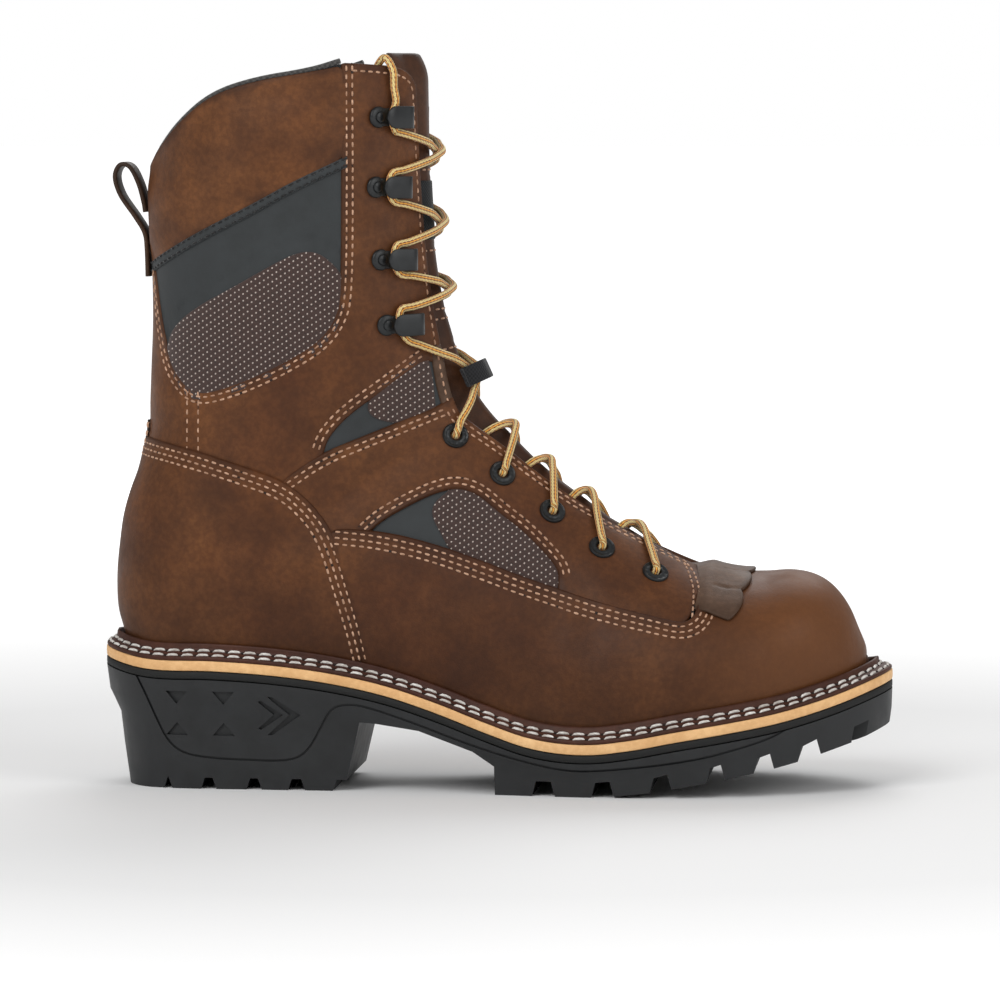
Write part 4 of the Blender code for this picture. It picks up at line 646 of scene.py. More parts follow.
def sheet(name, loop, fold, low, high, material, holes=(), rows=(), creases=(), lift=None, pad=0.0,
          pad_reach=0.006, step=0.0016, closed=False, rounding=0.35, replaced=()):
    """Sheet laid over the form inside a flat loop.

    Its top stands at lift + high, its foot at lift + low. Rings round the edge carry it from foot to top with a
    rounded shoulder, and triangles fill the rest. Stitch rows press it down, creases press it deeper,
    and pad swells it away from its edges.
    """
    loops = [resampled(one, fold, step * 0.8) for one in (loop, *holes)]
    thick = high - low
    profile = [(0.0, 0.0), (0.0, 0.55), (0.10, 0.85), (rounding, 1.0)]
    if closed:
        profile = [(rounding, 0.0), (0.10, 0.12), (0.0, 0.40)] + profile[1:]
    round_size = min(thick, 0.0022)

    def over(flat):
        return np.zeros(len(flat)) if lift is None else lift(flat)

    points, faces, edges, inner = [], [], [], []
    start = 0
    for number, one in enumerate(loops):
        hand = np.sign(area_of(one)) * (1 if number == 0 else -1)
        free = (one[:, 0] > 1e-6).astype(float)
        count = len(one)
        for ring, (inward, share) in enumerate(profile):
            flat = beside(one, free * inward * round_size, fold, hand, True, 1) if inward else one
            rise = np.where(free > 0, share, 0.0 if closed and share < 0.5 else 1.0)
            points.append(on_form(flat, fold, over(flat) + low + thick * rise))
            edges.append(np.zeros(count))
            if ring:
                a = start + np.arange(count)
                b = np.roll(a, -1)
                quads = np.column_stack([a - count, b - count, b, a])
                faces.append(quads if hand > 0 else quads[:, ::-1])
            start += count
        inner.append(flat)
    by_s, by_a = slopes(loops[0], fold)
    scale = np.array([np.median(np.linalg.norm(by_s, axis=1)), np.median(np.linalg.norm(by_a, axis=1))])
    low_corner, high_corner = inner[0].min(0), inner[0].max(0)
    in_s = np.arange(low_corner[0], high_corner[0], step / scale[0])
    in_a = np.arange(low_corner[1], high_corner[1], step / scale[1])
    grid_s, grid_a = np.meshgrid(in_s, in_a, indexing="ij")
    grid_a = grid_a + (np.arange(len(in_s)) % 2)[:, None] * step / scale[1] / 2
    grid = np.column_stack([grid_s.ravel(), grid_a.ravel()])
    keep = inside(grid, inner[0])
    for one in inner[1:]:
        keep &= ~inside(grid, one)
    grid = grid[keep]
    around = np.concatenate([on_form(one, fold) for one in inner])
    grid = grid[nearest(on_form(grid, fold), around) > 0.6 * step]
    bound = np.concatenate(inner)
    links, base = [], 0
    for one in inner:
        a = base + np.arange(len(one))
        links.append(np.column_stack([a, np.roll(a, -1)]))
        base = a[-1] + 1
        links[-1][-1, 1] = a[0]
    corners, _, made, *_ = delaunay_2d_cdt((np.concatenate([bound, grid]) * scale).tolist(),
                                           np.concatenate(links).tolist(), [], 0, 1e-7)
    flat = np.array(corners, float)[:, :2] / scale
    made = np.array(made)
    middle = flat[made].mean(1)
    keep = inside(middle, inner[0])
    for one in inner[1:]:
        keep &= ~inside(middle, one)
    made = made[keep]
    ground = on_form(flat, fold)
    real_edges = np.concatenate([on_form(one[one[:, 0] > 1e-6], fold) for one in loops])
    far = nearest(ground, real_edges)
    height = over(flat) + high
    for lines, depth, spread in ((rows, ROW_DEPTH, ROW_SPREAD), (creases, 2.4 * ROW_DEPTH, 0.7 * ROW_SPREAD)):
        if lines:
            line = np.concatenate([on_form(resampled(one, fold, 0.0012, False), fold) for one in lines])
            height = height - depth * np.exp(-(nearest(ground, line) / spread) ** 2)
    inward = np.clip(far - rounding * round_size, 0, None)
    height = height + pad * (1 - np.exp(-(inward / pad_reach) ** 2))
    points.append(on_form(flat, fold, height))
    edges.append(np.clip(far / EDGE_REACH, 0, 1))
    signed = np.cross(ground[made[:, 1]] - ground[made[:, 0]], ground[made[:, 2]] - ground[made[:, 0]])
    out = (signed * normals_on(flat[made[:, 0]], fold)).sum(1) > 0
    made = np.where(out[:, None], made, made[:, ::-1])
    faces.append(made + start)
    if not ring_faces_out(np.concatenate(points), faces[0], loops[0], fold):
        faces = [one[:, ::-1] for one in faces[:-1]] + faces[-1:]
    if closed:
        points.append(on_form(flat, fold, over(flat) + low))
        edges.append(np.ones(len(flat)))
        faces.append(made[:, ::-1] + start + len(flat))
    points = np.concatenate(points)
    return new_piece(name, points, faces, material, replaced, np.concatenate(edges), points[:, [0, 2]])


def ring_faces_out(points, quads, loop, fold):
    """Whether the first ring's faces look away from the sheet's middle."""
    a, b, c = (points[quads[:, k]] for k in (0, 1, 2))
    facing = np.cross(b - a, c - a)
    hand = np.sign(area_of(loop))
    away = on_form(beside(loop, 0.001, fold, -hand, True, 1), fold) - on_form(loop, fold)
    return (facing * away).sum(1).mean() > 0


def carried(path, guide, section):
    """Points and faces of a closed cross-section carried along a path. Section points are (across, up), or one
    such list for each path point: across is square to the path and the guide, up lies toward the guide."""
    path = np.asarray(path, float)
    along = np.gradient(path, axis=0)
    along /= np.linalg.norm(along, axis=1, keepdims=True)
    up = guide - along * (guide * along).sum(1, keepdims=True)
    up /= np.linalg.norm(up, axis=1, keepdims=True)
    across = np.cross(along, up)
    section = np.broadcast_to(section, (len(path), *np.shape(section)[-2:]))
    points = path[:, None] + section[..., :1] * across[:, None] + section[..., 1:] * up[:, None]
    rows, count = points.shape[:2]
    at = np.arange(rows * count).reshape(rows, count)
    faces = [np.stack([at[:-1], np.roll(at[:-1], -1, 1), np.roll(at[1:], -1, 1), at[1:]], -1).reshape(-1, 4)]
    points = points.reshape(-1, 3)
    for row, flip in ((0, True), (rows - 1, False)):
        centre = len(points)
        points = np.vstack([points, points[at[row]].mean(0)])
        fan = np.column_stack([at[row], np.roll(at[row], -1), np.full(count, centre)])
        faces.append(fan[:, ::-1] if flip else fan)
    return points, faces


def circle(radius, count):
    """Section of a round cord, one corner after another."""
    angle = 2 * math.pi * np.arange(count) / count
    return np.column_stack([radius * np.cos(angle), radius * np.sin(angle)])


def rounded_box(width, height, corner, steps=3):
    """Section of a strap: a box with rounded corners."""
    angle = np.linspace(0, math.pi / 2, steps)
    parts = []
    for k, (x, y) in enumerate(((1, 1), (-1, 1), (-1, -1), (1, -1))):
        turn = angle + k * math.pi / 2
        parts.append(np.column_stack([x * (width / 2 - corner) + corner * np.cos(turn),
                                      y * (height / 2 - corner) + corner * np.sin(turn)]))
    return np.concatenate(parts)


def smooth_path(points, spacing):
    """Smooth curve through points, by their distance along it."""
    points = np.asarray(points, float)
    run = np.r_[0, np.cumsum(np.linalg.norm(np.diff(points, axis=0), axis=1))]
    at = np.linspace(0, run[-1], int(run[-1] / spacing) + 2)
    return np.column_stack([smooth_curve(list(zip(run, points[:, k])))(at) for k in range(points.shape[1])])


def joined(parts):
    """Points and faces of several meshes put together."""
    points, faces, base = [], [], 0
    for some, lists in parts:
        points.append(some)
        faces += [one + base for one in lists]
        base += len(some)
    return np.concatenate(points), faces


def outward(points, faces):
    """Faces turned so that the closed mesh has a positive volume."""
    volume = 0.0
    for one in faces:
        a, b, c = points[one[:, 0]], points[one[:, 1]], points[one[:, 2]]
        volume += (np.cross(a, b) * c).sum()
        if one.shape[1] == 4:
            d = points[one[:, 3]]
            volume += (np.cross(a, c) * d).sum()
    return faces if volume > 0 else [one[:, ::-1] for one in faces]


def capsules(centres, along, up, length, radius, dip):
    """Stitches: thick threads whose ends bend down into the leather, each of five rings of six points."""
    u = np.array([-1.0, -0.62, 0.0, 0.62, 1.0])
    girth = np.array([0.30, 0.92, 1.0, 0.92, 0.30]) * radius
    drop = np.array([-1.0, -0.18, 0.0, -0.18, -1.0]) * dip
    angle = 2 * math.pi * np.arange(6) / 6
    side = np.cross(along, up)
    middle = centres[:, None] + along[:, None] * (u[:, None] * length / 2) + up[:, None] * drop[:, None]
    ring = side[:, None, None] * np.cos(angle)[:, None] + up[:, None, None] * np.sin(angle)[:, None]
    points = middle[:, :, None] + ring * girth[:, None, None]
    count = len(centres)
    at = np.arange(count * 30).reshape(count, 5, 6)
    ahead = np.roll(at, -1, 2)
    sides = np.stack([at[:, :-1], at[:, 1:], ahead[:, 1:], ahead[:, :-1]], -1).reshape(-1, 4)
    caps = np.concatenate([at[:, 0, [0, 1, 2, 3]], at[:, 0, [0, 3, 4, 5]],
                           at[:, -1, [3, 2, 1, 0]], at[:, -1, [5, 4, 3, 0]]])
    return points.reshape(-1, 3), [sides, caps]


def stitch_rows(name, rows, material, pitch=0.0033, length=0.0027, radius=0.00046, holes=None):
    """Stitches along rows of (flat path, fold, height), with a dark pit of painted shade in the needle hole between
    each two.
    """
    parts, hole_shades = [], []
    for flat, fold, height in rows:
        path = resampled(flat, fold, 0.0008, False)
        place = on_form(path, fold, height)
        up = normals_on(path, fold)
        run = np.r_[0, np.cumsum(np.linalg.norm(np.diff(place, axis=0), axis=1))]
        count = max(int(run[-1] / pitch), 1)
        at = (np.arange(count) + 0.5) * run[-1] / count

        def pick(values, where):
            return np.column_stack([np.interp(where, run, values[:, k]) for k in range(3)])
        along = pick(place, at + length / 3) - pick(place, at - length / 3)
        along /= np.linalg.norm(along, axis=1, keepdims=True)
        normal = pick(up, at)
        normal -= along * (normal * along).sum(1, keepdims=True)
        normal /= np.linalg.norm(normal, axis=1, keepdims=True)
        parts.append(capsules(pick(place, at), along, normal, length, radius, 1.3 * radius))
        # Painted shade: a dark pit sunk into each needle hole between the stitches.
        between = (np.arange(count + 1)) * run[-1] / count
        deep = pick(up, between)
        ahead = pick(place, between + 0.001) - pick(place, between - 0.001)
        hole_shades.append(capsules(pick(place, between) - deep * radius * 0.95, np.cross(deep, ahead) * 900, deep,
                             0.0009, radius * 1.05, 0.0))
    points, faces = joined(parts)
    new_piece(name, points, outward(points, faces), material)
    if holes:
        points, faces = joined(hole_shades)
        new_piece(name + "_hole_shade", points, outward(points, faces), holes)


# Materials
class Nodes:
    """A material's node tree, with its Principled shader, and short calls to add nodes."""

    def __init__(self, name, roughness=0.5, **sockets):
        self.material = bpy.data.materials.new(name)
        self.material.use_nodes = True
        self.tree = self.material.node_tree
        self.shader = self.tree.nodes["Principled BSDF"]
        self.shader.inputs["Roughness"].default_value = roughness
        for socket, value in sockets.items():
            self.shader.inputs[socket.replace("_", " ")].default_value = value

    def add(self, kind, inputs=(), **settings):
        node = self.tree.nodes.new("ShaderNode" + kind)
        for key, value in settings.items():
            setattr(node, key, value)
        for key, value in dict(inputs).items():
            self.put(node.inputs[key], value)
        return node

    def put(self, socket, value):
        if isinstance(value, bpy.types.NodeSocket):
            self.tree.links.new(value, socket)
        else:
            socket.default_value = value

    def where(self, scale=(1, 1, 1), turn=(0, 0, 0), uv=False):
        """Object or UV coordinates, scaled and turned."""
        source = self.add("TexCoord").outputs["UV" if uv else "Object"]
        node = self.add("Mapping", {"Vector": source, "Rotation": turn, "Scale": scale})
        return node.outputs["Vector"]

    def noise(self, at, scale, detail=3.0, rough=0.55):
        node = self.add("TexNoise", {"Vector": at, "Scale": scale, "Detail": detail, "Roughness": rough})
        return node.outputs["Fac"]

    def cells(self, at, scale, feature="F1"):
        node = self.add("TexVoronoi", {"Vector": at, "Scale": scale}, feature=feature)
        return node.outputs["Distance"]

    def math(self, operation, a, b=0.5):
        node = self.add("Math", {0: a, 1: b}, operation=operation)
        return node.outputs[0]

    def span(self, value, low, high, to_low=0.0, to_high=1.0):
        node = self.add("MapRange", {0: value, 1: low, 2: high, 3: to_low, 4: to_high})
        return node.outputs[0]

    def mix(self, share, a, b, blend="MIX"):
        node = self.add("Mix", data_type="RGBA", blend_type=blend)
        self.put(node.inputs[0], share)
        for socket, value in ((node.inputs[6], a), (node.inputs[7], b)):
            self.put(socket, value if isinstance(value, bpy.types.NodeSocket) else (*value, 1.0))
        return node.outputs[2]

    def bumps(self, *layers):
        """Bump layers of (height, strength, distance), one on another."""
        normal = None
        for height, strength, distance in layers:
            node = self.add("Bump", {"Height": height, "Strength": strength, "Distance": distance})
            if normal is not None:
                self.put(node.inputs["Normal"], normal)
            normal = node.outputs[0]
        self.put(self.shader.inputs["Normal"], normal)

    def finish(self, colour=None, roughness=None):
        if colour is not None:
            self.put(self.shader.inputs["Base Color"], colour)
        if roughness is not None:
            self.put(self.shader.inputs["Roughness"], roughness)
        return self.material


def waxed_leather(name, dark, mid, light, edged=True, painted_low_shade_toe_light=True):
    """Oiled pull-up leather: cloudy colour, darker edges, fine pores and faint creases, with painted shade
    darkening it toward the feet and painted light lightening the toe.
    """
    make = Nodes(name, Specular_IOR_Level=0.22, Sheen_Weight=0.0)
    at = make.where()
    cloud = make.noise(at, 14.0, 4.0, 0.60)
    patch = make.noise(at, 46.0, 5.0, 0.62)
    speck = make.noise(at, 420.0, 3.0, 0.60)
    colour = make.mix(make.span(cloud, 0.36, 0.66), mid, light)
    colour = make.mix(make.span(patch, 0.34, 0.68, 0.55, 0.0), colour, dark)
    colour = make.mix(make.span(speck, 0.40, 0.62, 0.30, 0.0), colour, dark)
    if painted_low_shade_toe_light:
        # Painted shade: darker toward the bottom, from about 0.1 m down to 0.035 m.
        height = make.add("SeparateXYZ", {0: at}).outputs[2]
        colour = make.mix(make.span(height, 0.035, 0.100, 0.50, 0.0), colour, dark)
        # Painted light: lighter toward the toe, from x 0.075 m to 0.125 m.
        ahead = make.add("SeparateXYZ", {0: at}).outputs[0]
        colour = make.mix(make.span(ahead, 0.075, 0.125, 0.0, 0.55), colour, light)
    if edged:
        edge = make.add("Attribute", attribute_name="edge").outputs["Fac"]
        worn = make.math("ADD", edge, make.span(patch, 0.3, 0.7, -0.25, 0.25))
        colour = make.mix(make.span(worn, 0.02, 0.34, 0.55, 0.0), colour, dark)
    pores = make.cells(at, 1500.0)
    grain = make.noise(at, 900.0, 4.0, 0.65)
    creases = make.noise(make.where((1, 1, 1.6)), 70.0, 5.0, 0.55)
    make.bumps((creases, 0.22, 0.0011), (grain, 0.30, 0.00022), (pores, 0.22, 0.00014))
    rough = make.span(make.noise(at, 60.0, 4.0), 0.3, 0.7, 0.44, 0.62)
    return make.finish(colour, rough)


def dotted_mesh(name):
    """Dark brown net with rows of raised pale dots, slanting up toward the toe."""
    make = Nodes(name, Specular_IOR_Level=0.30, Sheen_Weight=0.15, Sheen_Roughness=0.6)
    at = make.where((1 / DOT_ROW_STEP, 1 / DOT_ROW_GAP, 1), (0, 0, -DOT_ROW_SLANT), uv=True)
    split = make.add("SeparateXYZ", {0: at})
    row = make.math("FLOOR", split.outputs[1], 0.0)
    shift = make.math("MULTIPLY", row, 0.5)
    along = make.math("SUBTRACT", make.math("FRACT", make.math("ADD", split.outputs[0], shift)), 0.5)
    across = make.math("SUBTRACT", make.math("FRACT", split.outputs[1]), 0.5)
    a = make.math("MULTIPLY", along, DOT_ROW_STEP)
    b = make.math("MULTIPLY", across, DOT_ROW_GAP)
    far = make.math("SQRT", make.math("ADD", make.math("MULTIPLY", a, a), make.math("MULTIPLY", b, b)))
    dot = make.span(far, DOT_RADIUS * 1.25, DOT_RADIUS * 0.75)
    net = make.cells(make.where((1, 1, 1), uv=True), 1500.0)
    cloth = make.mix(make.span(net, 0.05, 0.5), (0.012, 0.0065, 0.005), (0.050, 0.027, 0.022))
    fibre = make.noise(make.where(uv=True), 3000.0, 2.0)
    pale = make.mix(make.span(fibre, 0.3, 0.7), (0.42, 0.34, 0.30), (0.62, 0.54, 0.48))
    ridge = make.span(across, -0.5, 0.5, -1.0, 1.0)
    make.bumps((make.math("ABSOLUTE", ridge), 0.35, 0.0004), (net, 0.5, 0.0003), (dot, 0.9, 0.0004))
    return make.finish(make.mix(dot, cloth, pale), make.span(net, 0.0, 0.5, 0.62, 0.82))


def woven(name, dark, light, scale=1500.0, rough=0.8, sheen=0.1):
    """Plain weave: two crossing sets of ridges on the piece's own length and width, with loose fibres."""
    make = Nodes(name, rough, Specular_IOR_Level=0.3, Sheen_Weight=sheen, Sheen_Roughness=0.5)
    at = make.where()
    split = make.add("SeparateXYZ", {0: at})
    level = make.math("ADD", split.outputs[0], split.outputs[1])
    warp = make.math("SINE", make.math("MULTIPLY", level, scale * 2))
    weft = make.math("SINE", make.math("MULTIPLY", split.outputs[2], scale * 2))
    weave = make.math("MULTIPLY", warp, weft)
    fibre = make.noise(at, 1400.0, 4.0, 0.6)
    # Painted shade and light: darker in the weave's hollows, lighter on its ridges.
    colour = make.mix(make.span(weave, -1.0, 1.0), dark, light)
    colour = make.mix(make.span(fibre, 0.35, 0.65, 0.4, 0.0), colour, dark)
    make.bumps((weave, 0.5, 0.0002), (fibre, 0.3, 0.0002))
    return make.finish(colour)


def moulded(name, base, worn, rough=0.55, grain=700.0, strength=0.18, metal=0.0, spread=0.09):
    """Moulded rubber, foam or coated metal: faint mottling, fine grain and handling marks."""
    make = Nodes(name, Metallic=metal, Specular_IOR_Level=0.45)
    at = make.where()
    cloud = make.noise(at, 90.0, 5.0, 0.6)
    fine = make.noise(at, grain, 4.0, 0.65)
    colour = make.mix(make.span(cloud, 0.35, 0.68), base, worn)
    make.bumps((make.noise(at, 130.0, 3.0), 0.12, 0.0006), (fine, strength, 0.00015))
    return make.finish(colour, make.span(cloud, 0.3, 0.7, rough - spread, rough + spread))


def thread(name, dark, light, turns=1500.0):
    """Twisted thread: slanting ridges and a fibrous surface."""
    make = Nodes(name, 0.6, Specular_IOR_Level=0.35, Sheen_Weight=0.2, Sheen_Roughness=0.4)
    at = make.where((1, 1, 1), (0.5, 0.7, 0.3))
    wave = make.add("TexWave", {"Vector": at, "Scale": turns / 6, "Distortion": 1.5, "Detail": 1.0})
    twist = wave.outputs["Fac"]
    tone = make.noise(at, 240.0, 2.0)
    colour = make.mix(make.span(tone, 0.35, 0.65), dark, light)
    # Painted shade: darker in the grooves of the twist.
    colour = make.mix(make.span(twist, 0.2, 0.8, 0.3, 0.0), colour, dark)
    make.bumps((twist, 0.5, 0.0002),)
    return make.finish(colour)


def braided(name):
    """Round braided lace: diagonal strands, pale yellow with a golden middle and dark red stripes round it.

    U runs along the lace in metres, V once round it.
    """
    make = Nodes(name, 0.62, Specular_IOR_Level=0.3, Sheen_Weight=0.25, Sheen_Roughness=0.4)
    split = make.add("SeparateXYZ", {0: make.add("TexCoord").outputs["UV"]})
    u, v = split.outputs[0], split.outputs[1]
    long = make.math("MULTIPLY", u, 1 / BRAID_STEP)
    round_it = make.math("MULTIPLY", v, 6.0)
    left, right = (make.math("SINE", make.math("MULTIPLY", make.math(way, long, round_it), 2 * math.pi))
                   for way in ("ADD", "SUBTRACT"))
    strands = make.math("MAXIMUM", left, right)
    band_at = make.math("PINGPONG", make.math("MULTIPLY", v, 2.0), 0.5)
    wiggle = make.math("ADD", band_at, make.math("MULTIPLY", left, 0.02))
    red = make.math("MULTIPLY", make.span(wiggle, 0.11, 0.14), make.span(wiggle, 0.29, 0.26))
    gold = make.span(wiggle, 0.15, 0.10)
    colour = make.mix(gold, (1.0, 0.80, 0.34), (1.0, 0.47, 0.06))
    red = make.math("MULTIPLY", red, make.span(right, -1.0, -0.4, 0.75, 1.0))
    colour = make.mix(red, colour, (0.24, 0.016, 0.008))
    # Painted shade: darker between the strands, where the braid dips.
    colour = make.mix(make.span(strands, -0.2, 0.6, 0.30, 0.0), colour, (0.42, 0.17, 0.03))
    fibre = make.noise(make.where(uv=False), 3500.0, 3.0)
    make.bumps((strands, 0.75, 0.0004), (fibre, 0.25, 0.0001))
    return make.finish(colour)


DOT_ROW_STEP = 0.0019
DOT_ROW_GAP = 0.0024
DOT_ROW_SLANT = math.radians(27)
DOT_RADIUS = 0.00032
BRAID_STEP = 0.0019

LEATHER = waxed_leather("waxed_brown_leather", (0.030, 0.0095, 0.0035), (0.095, 0.030, 0.0085),
                        (0.175, 0.064, 0.019))
TONGUE_SKIN = waxed_leather("soft_brown_leather", (0.020, 0.008, 0.004), (0.060, 0.021, 0.008),
                            (0.095, 0.036, 0.014))
KILTIE_SKIN = waxed_leather("greyed_leather", (0.040, 0.020, 0.011), (0.120, 0.066, 0.040), (0.170, 0.100, 0.064),
                            painted_low_shade_toe_light=False)
STRAP_SKIN = waxed_leather("dark_strap_leather", (0.018, 0.011, 0.008), (0.045, 0.023, 0.013),
                           (0.080, 0.040, 0.020), False, False)
WELT_SKIN = waxed_leather("red_brown_welt", (0.022, 0.007, 0.004), (0.060, 0.018, 0.010), (0.095, 0.034, 0.019),
                          False, False)
MESH = dotted_mesh("dotted_mesh")
BLACK_CLOTH = woven("black_textile", (0.006, 0.007, 0.008), (0.026, 0.029, 0.031), 2200.0)
BLACK_PANEL = moulded("black_synthetic", (0.014, 0.017, 0.018), (0.026, 0.030, 0.032), 0.62, 1500.0, 0.25)
LINING = woven("grey_lining", (0.030, 0.029, 0.028), (0.085, 0.082, 0.078), 1300.0, 0.9, 0.3)
FOOTBED = woven("footbed_cover", (0.012, 0.011, 0.010), (0.050, 0.044, 0.040), 1000.0, 0.9, 0.2)
WEBBING = woven("black_webbing", (0.004, 0.004, 0.005), (0.022, 0.022, 0.024), 1800.0)
THREAD = thread("tan_thread", (0.34, 0.185, 0.11), (0.62, 0.38, 0.25))
WHITE_THREAD = thread("white_thread", (0.46, 0.42, 0.38), (0.84, 0.82, 0.78), 1100.0)
BLACK_THREAD = thread("black_thread", (0.004, 0.004, 0.004), (0.016, 0.016, 0.017))
# Painted shade: near-black pits sunk into the needle holes.
NEEDLE_HOLE_SHADE = moulded("needle_hole_shade", (0.010, 0.005, 0.003), (0.018, 0.009, 0.005), 0.8)
RUBBER = moulded("charcoal_rubber", (0.0085, 0.0092, 0.0100), (0.016, 0.0172, 0.0185), 0.52, 600.0, 0.22)
FOAM_SKIN = moulded("black_foam", (0.0035, 0.0038, 0.0035), (0.0075, 0.0080, 0.0075), 0.72, 1300.0, 0.5)
TAN = waxed_leather("tan_midsole_leather", (0.60, 0.31, 0.12), (0.88, 0.53, 0.24), (0.95, 0.62, 0.31),
                    False, False)
COATED = moulded("black_coated_metal", (0.009, 0.010, 0.011), (0.018, 0.020, 0.021), 0.36, 1800.0, 0.12,
                 0.25, 0.06)
LACE = braided("braided_lace")


# Thickness of each layer over the form: the panels lap over one another
SHAFT_TOP = 0.0014
QUARTER_TOP = 0.0021
LAP_TOP = 0.0027
COLLAR_TOP = 0.0012
CLOTH_TOP = 0.0006
TUCK = -0.0003
ROW = 0.0024
THREAD_UP = 0.00012

HEEL_CORNER = float(section_of(FOOT_BACK, seat_line(FOOT_BACK) + SEAT_GAP)[0])
RISE = FORM_Z - PIVOT_Z
SIDE_NAMES = {-1: "lateral", 1: "medial"}


def level_s(height):
    """Section s of a level row at a share of the top height."""
    return 2 + (height * TOP_HEIGHT - PIVOT_Z) / RISE


def toward_sole(amount):
    """Lift that thins a panel by an amount just above the welt, so that it ends behind the rib."""
    def lift(flat):
        place = on_form(flat, 0 if amount > 0 else 1)
        near = np.clip(1 - (place[:, 2] - seat_line(place[:, 0])) / 0.012, 0, 1)
        return -abs(amount) * near * near * (3 - 2 * near)
    return lift


def to_throat(rows, side):
    """Traced line without the part of it that lies past the throat's edge."""
    flat = traced(rows, side)
    return flat[np.abs(flat[:, 1]) >= throat_turn(flat[:, 0], side)]


def throat_edge(s_from, s_to, side, count=80):
    """The throat's edge between two sections."""
    s = np.linspace(s_from, s_to, count)
    return np.column_stack([s, side * throat_turn(s, side)])


def off_throat(edge):
    """Hand that moves a row from the throat's edge onto the leather."""
    middle = len(edge) // 2
    return 1 if np.abs(beside(edge, 0.001, 0, 1)[middle, 1]) > np.abs(edge[middle, 1]) else -1


def vamp_height(x):
    """Height share of the vamp's upper edge at a length share."""
    rows = np.array(VAMP_LINE)
    return np.interp(x, rows[:, 0], rows[:, 1])


def edge_row(rows, side, distance, toward, fold=0, times=2):
    """Stitch row beside a side-view line; toward is the side-view point, in shares, that it moves toward."""
    flat = resampled(traced(rows, side, fold, times), fold, 0.001, False)
    goal = np.array(side_point(toward))
    moved = [beside(flat, distance, fold, hand) for hand in (1, -1)]
    apart = [np.linalg.norm(on_form(one, fold)[:, [0, 2]] - goal, axis=1).mean() for one in moved]
    return moved[int(np.argmin(apart))]


# Layers under the leather: the wall, then cloth and mesh in the windows. The wall's inner faces look toward
# a line along the middle of the foot, and one up the middle of the shaft.
FOOT_AXIS_Z = 0.07
SHAFT_AXIS_X = -0.083


def make_wall():
    """Outer textile and inner lining of the hollow upper, in two halves that meet at the ridge and the back."""
    made = []
    for side in (-1, 1):
        throat_start = float(section_of(HEEL_X + THROAT_END * BOOT_LENGTH, 0.0)[0])
        collar = to_throat(COLLAR_LINE, side)
        front = np.linspace(0, throat_start, 60)
        loop = np.concatenate([
            np.column_stack([np.linspace(0, HEEL_CORNER, 120), np.full(120, side * SOLE_TURN)]),
            np.column_stack([np.linspace(HEEL_CORNER, collar[0, 0], 80), np.full(80, side * 1.0)]),
            collar,
            throat_edge(collar[-1, 0], throat_start, side, 120),
            np.column_stack([front[::-1], np.full(60, side * 1e-6)]),
            np.column_stack([np.zeros(30), side * np.linspace(1e-6, SOLE_TURN, 30)])])
        made.append(sheet("wall_" + SIDE_NAMES[side], loop, 0, -WALL, -0.0001, BLACK_CLOTH, step=0.0026,
                          closed=True))
    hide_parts("upper_forefoot", "upper_heel", "upper_shaft")
    for piece in made:
        piece.data.materials.append(LINING)
        count = len(piece.data.polygons)
        centre = np.empty(count * 3)
        normal = np.empty(count * 3)
        piece.data.polygons.foreach_get("center", centre)
        piece.data.polygons.foreach_get("normal", normal)
        centre, normal = centre.reshape(-1, 3), normal.reshape(-1, 3)
        s, _ = section_of(centre[:, 0], centre[:, 2])
        axis = np.where((s < 2)[:, None], np.column_stack([centre[:, 0], 0 * s, np.full(count, FOOT_AXIS_Z)]),
                        np.column_stack([np.full(count, SHAFT_AXIS_X), 0 * s, centre[:, 2]]))
        inner = ((axis - centre) * normal).sum(1) > 0
        piece.data.polygons.foreach_set("material_index", inner.astype(np.int32))
    return made


HIGH_MESH = ((0.089, 0.605), (0.096, 0.630), (0.126, 0.659), (0.177, 0.688), (0.227, 0.719), (0.260, 0.737),
             (0.285, 0.738), (0.306, 0.719), (0.318, 0.700), (0.319, 0.670), (0.310, 0.633), (0.288, 0.603),
             (0.243, 0.575), (0.195, 0.550), (0.150, 0.534), (0.128, 0.532), (0.108, 0.543), (0.088, 0.575))
LOW_MESH = ((0.443, 0.4077), (0.4264, 0.3926), (0.4251, 0.3746), (0.4366, 0.3532), (0.4525, 0.322), (0.500, 0.298),
            (0.554, 0.274), (0.592, 0.258), (0.597, 0.300), (0.578, 0.328), (0.548, 0.364), (0.512, 0.392),
            (0.485, 0.413), (0.461, 0.421), (0.449, 0.418))
MIDDLE_MESH = ((0.3447, 0.5332), (0.3428, 0.5188), (0.3549, 0.5057), (0.404, 0.498), (0.426, 0.506),
               (0.424, 0.540), (0.417, 0.590), (0.407, 0.597), (0.385, 0.580), (0.357, 0.556), (0.348, 0.545))
LOW_PANEL = ((0.350, 0.340), (0.352, 0.372), (0.392, 0.397), (0.424, 0.414), (0.446, 0.421), (0.463, 0.421),
             (0.484, 0.413), (0.512, 0.390), (0.546, 0.362), (0.574, 0.332), (0.594, 0.308), (0.595, 0.258),
             (0.500, 0.290), (0.420, 0.325))
MIDDLE_PANEL = ((0.470, 0.520), (0.420, 0.505), (0.350, 0.478), (0.282, 0.440), (0.282, 0.470),
                (0.304, 0.512), (0.355, 0.555), (0.385, 0.580), (0.410, 0.602), (0.450, 0.600))
HIGH_BAND = ((0.060, 0.700), (0.069, 0.708), (0.110, 0.734), (0.146, 0.755), (0.179, 0.773), (0.213, 0.792),
             (0.244, 0.811), (0.277, 0.829), (0.322, 0.852))
FRAME_LINE = ((0.087, 0.622), (0.093, 0.644), (0.115, 0.673), (0.178, 0.708), (0.212, 0.730), (0.250, 0.751),
              (0.276, 0.755), (0.294, 0.751), (0.318, 0.734))


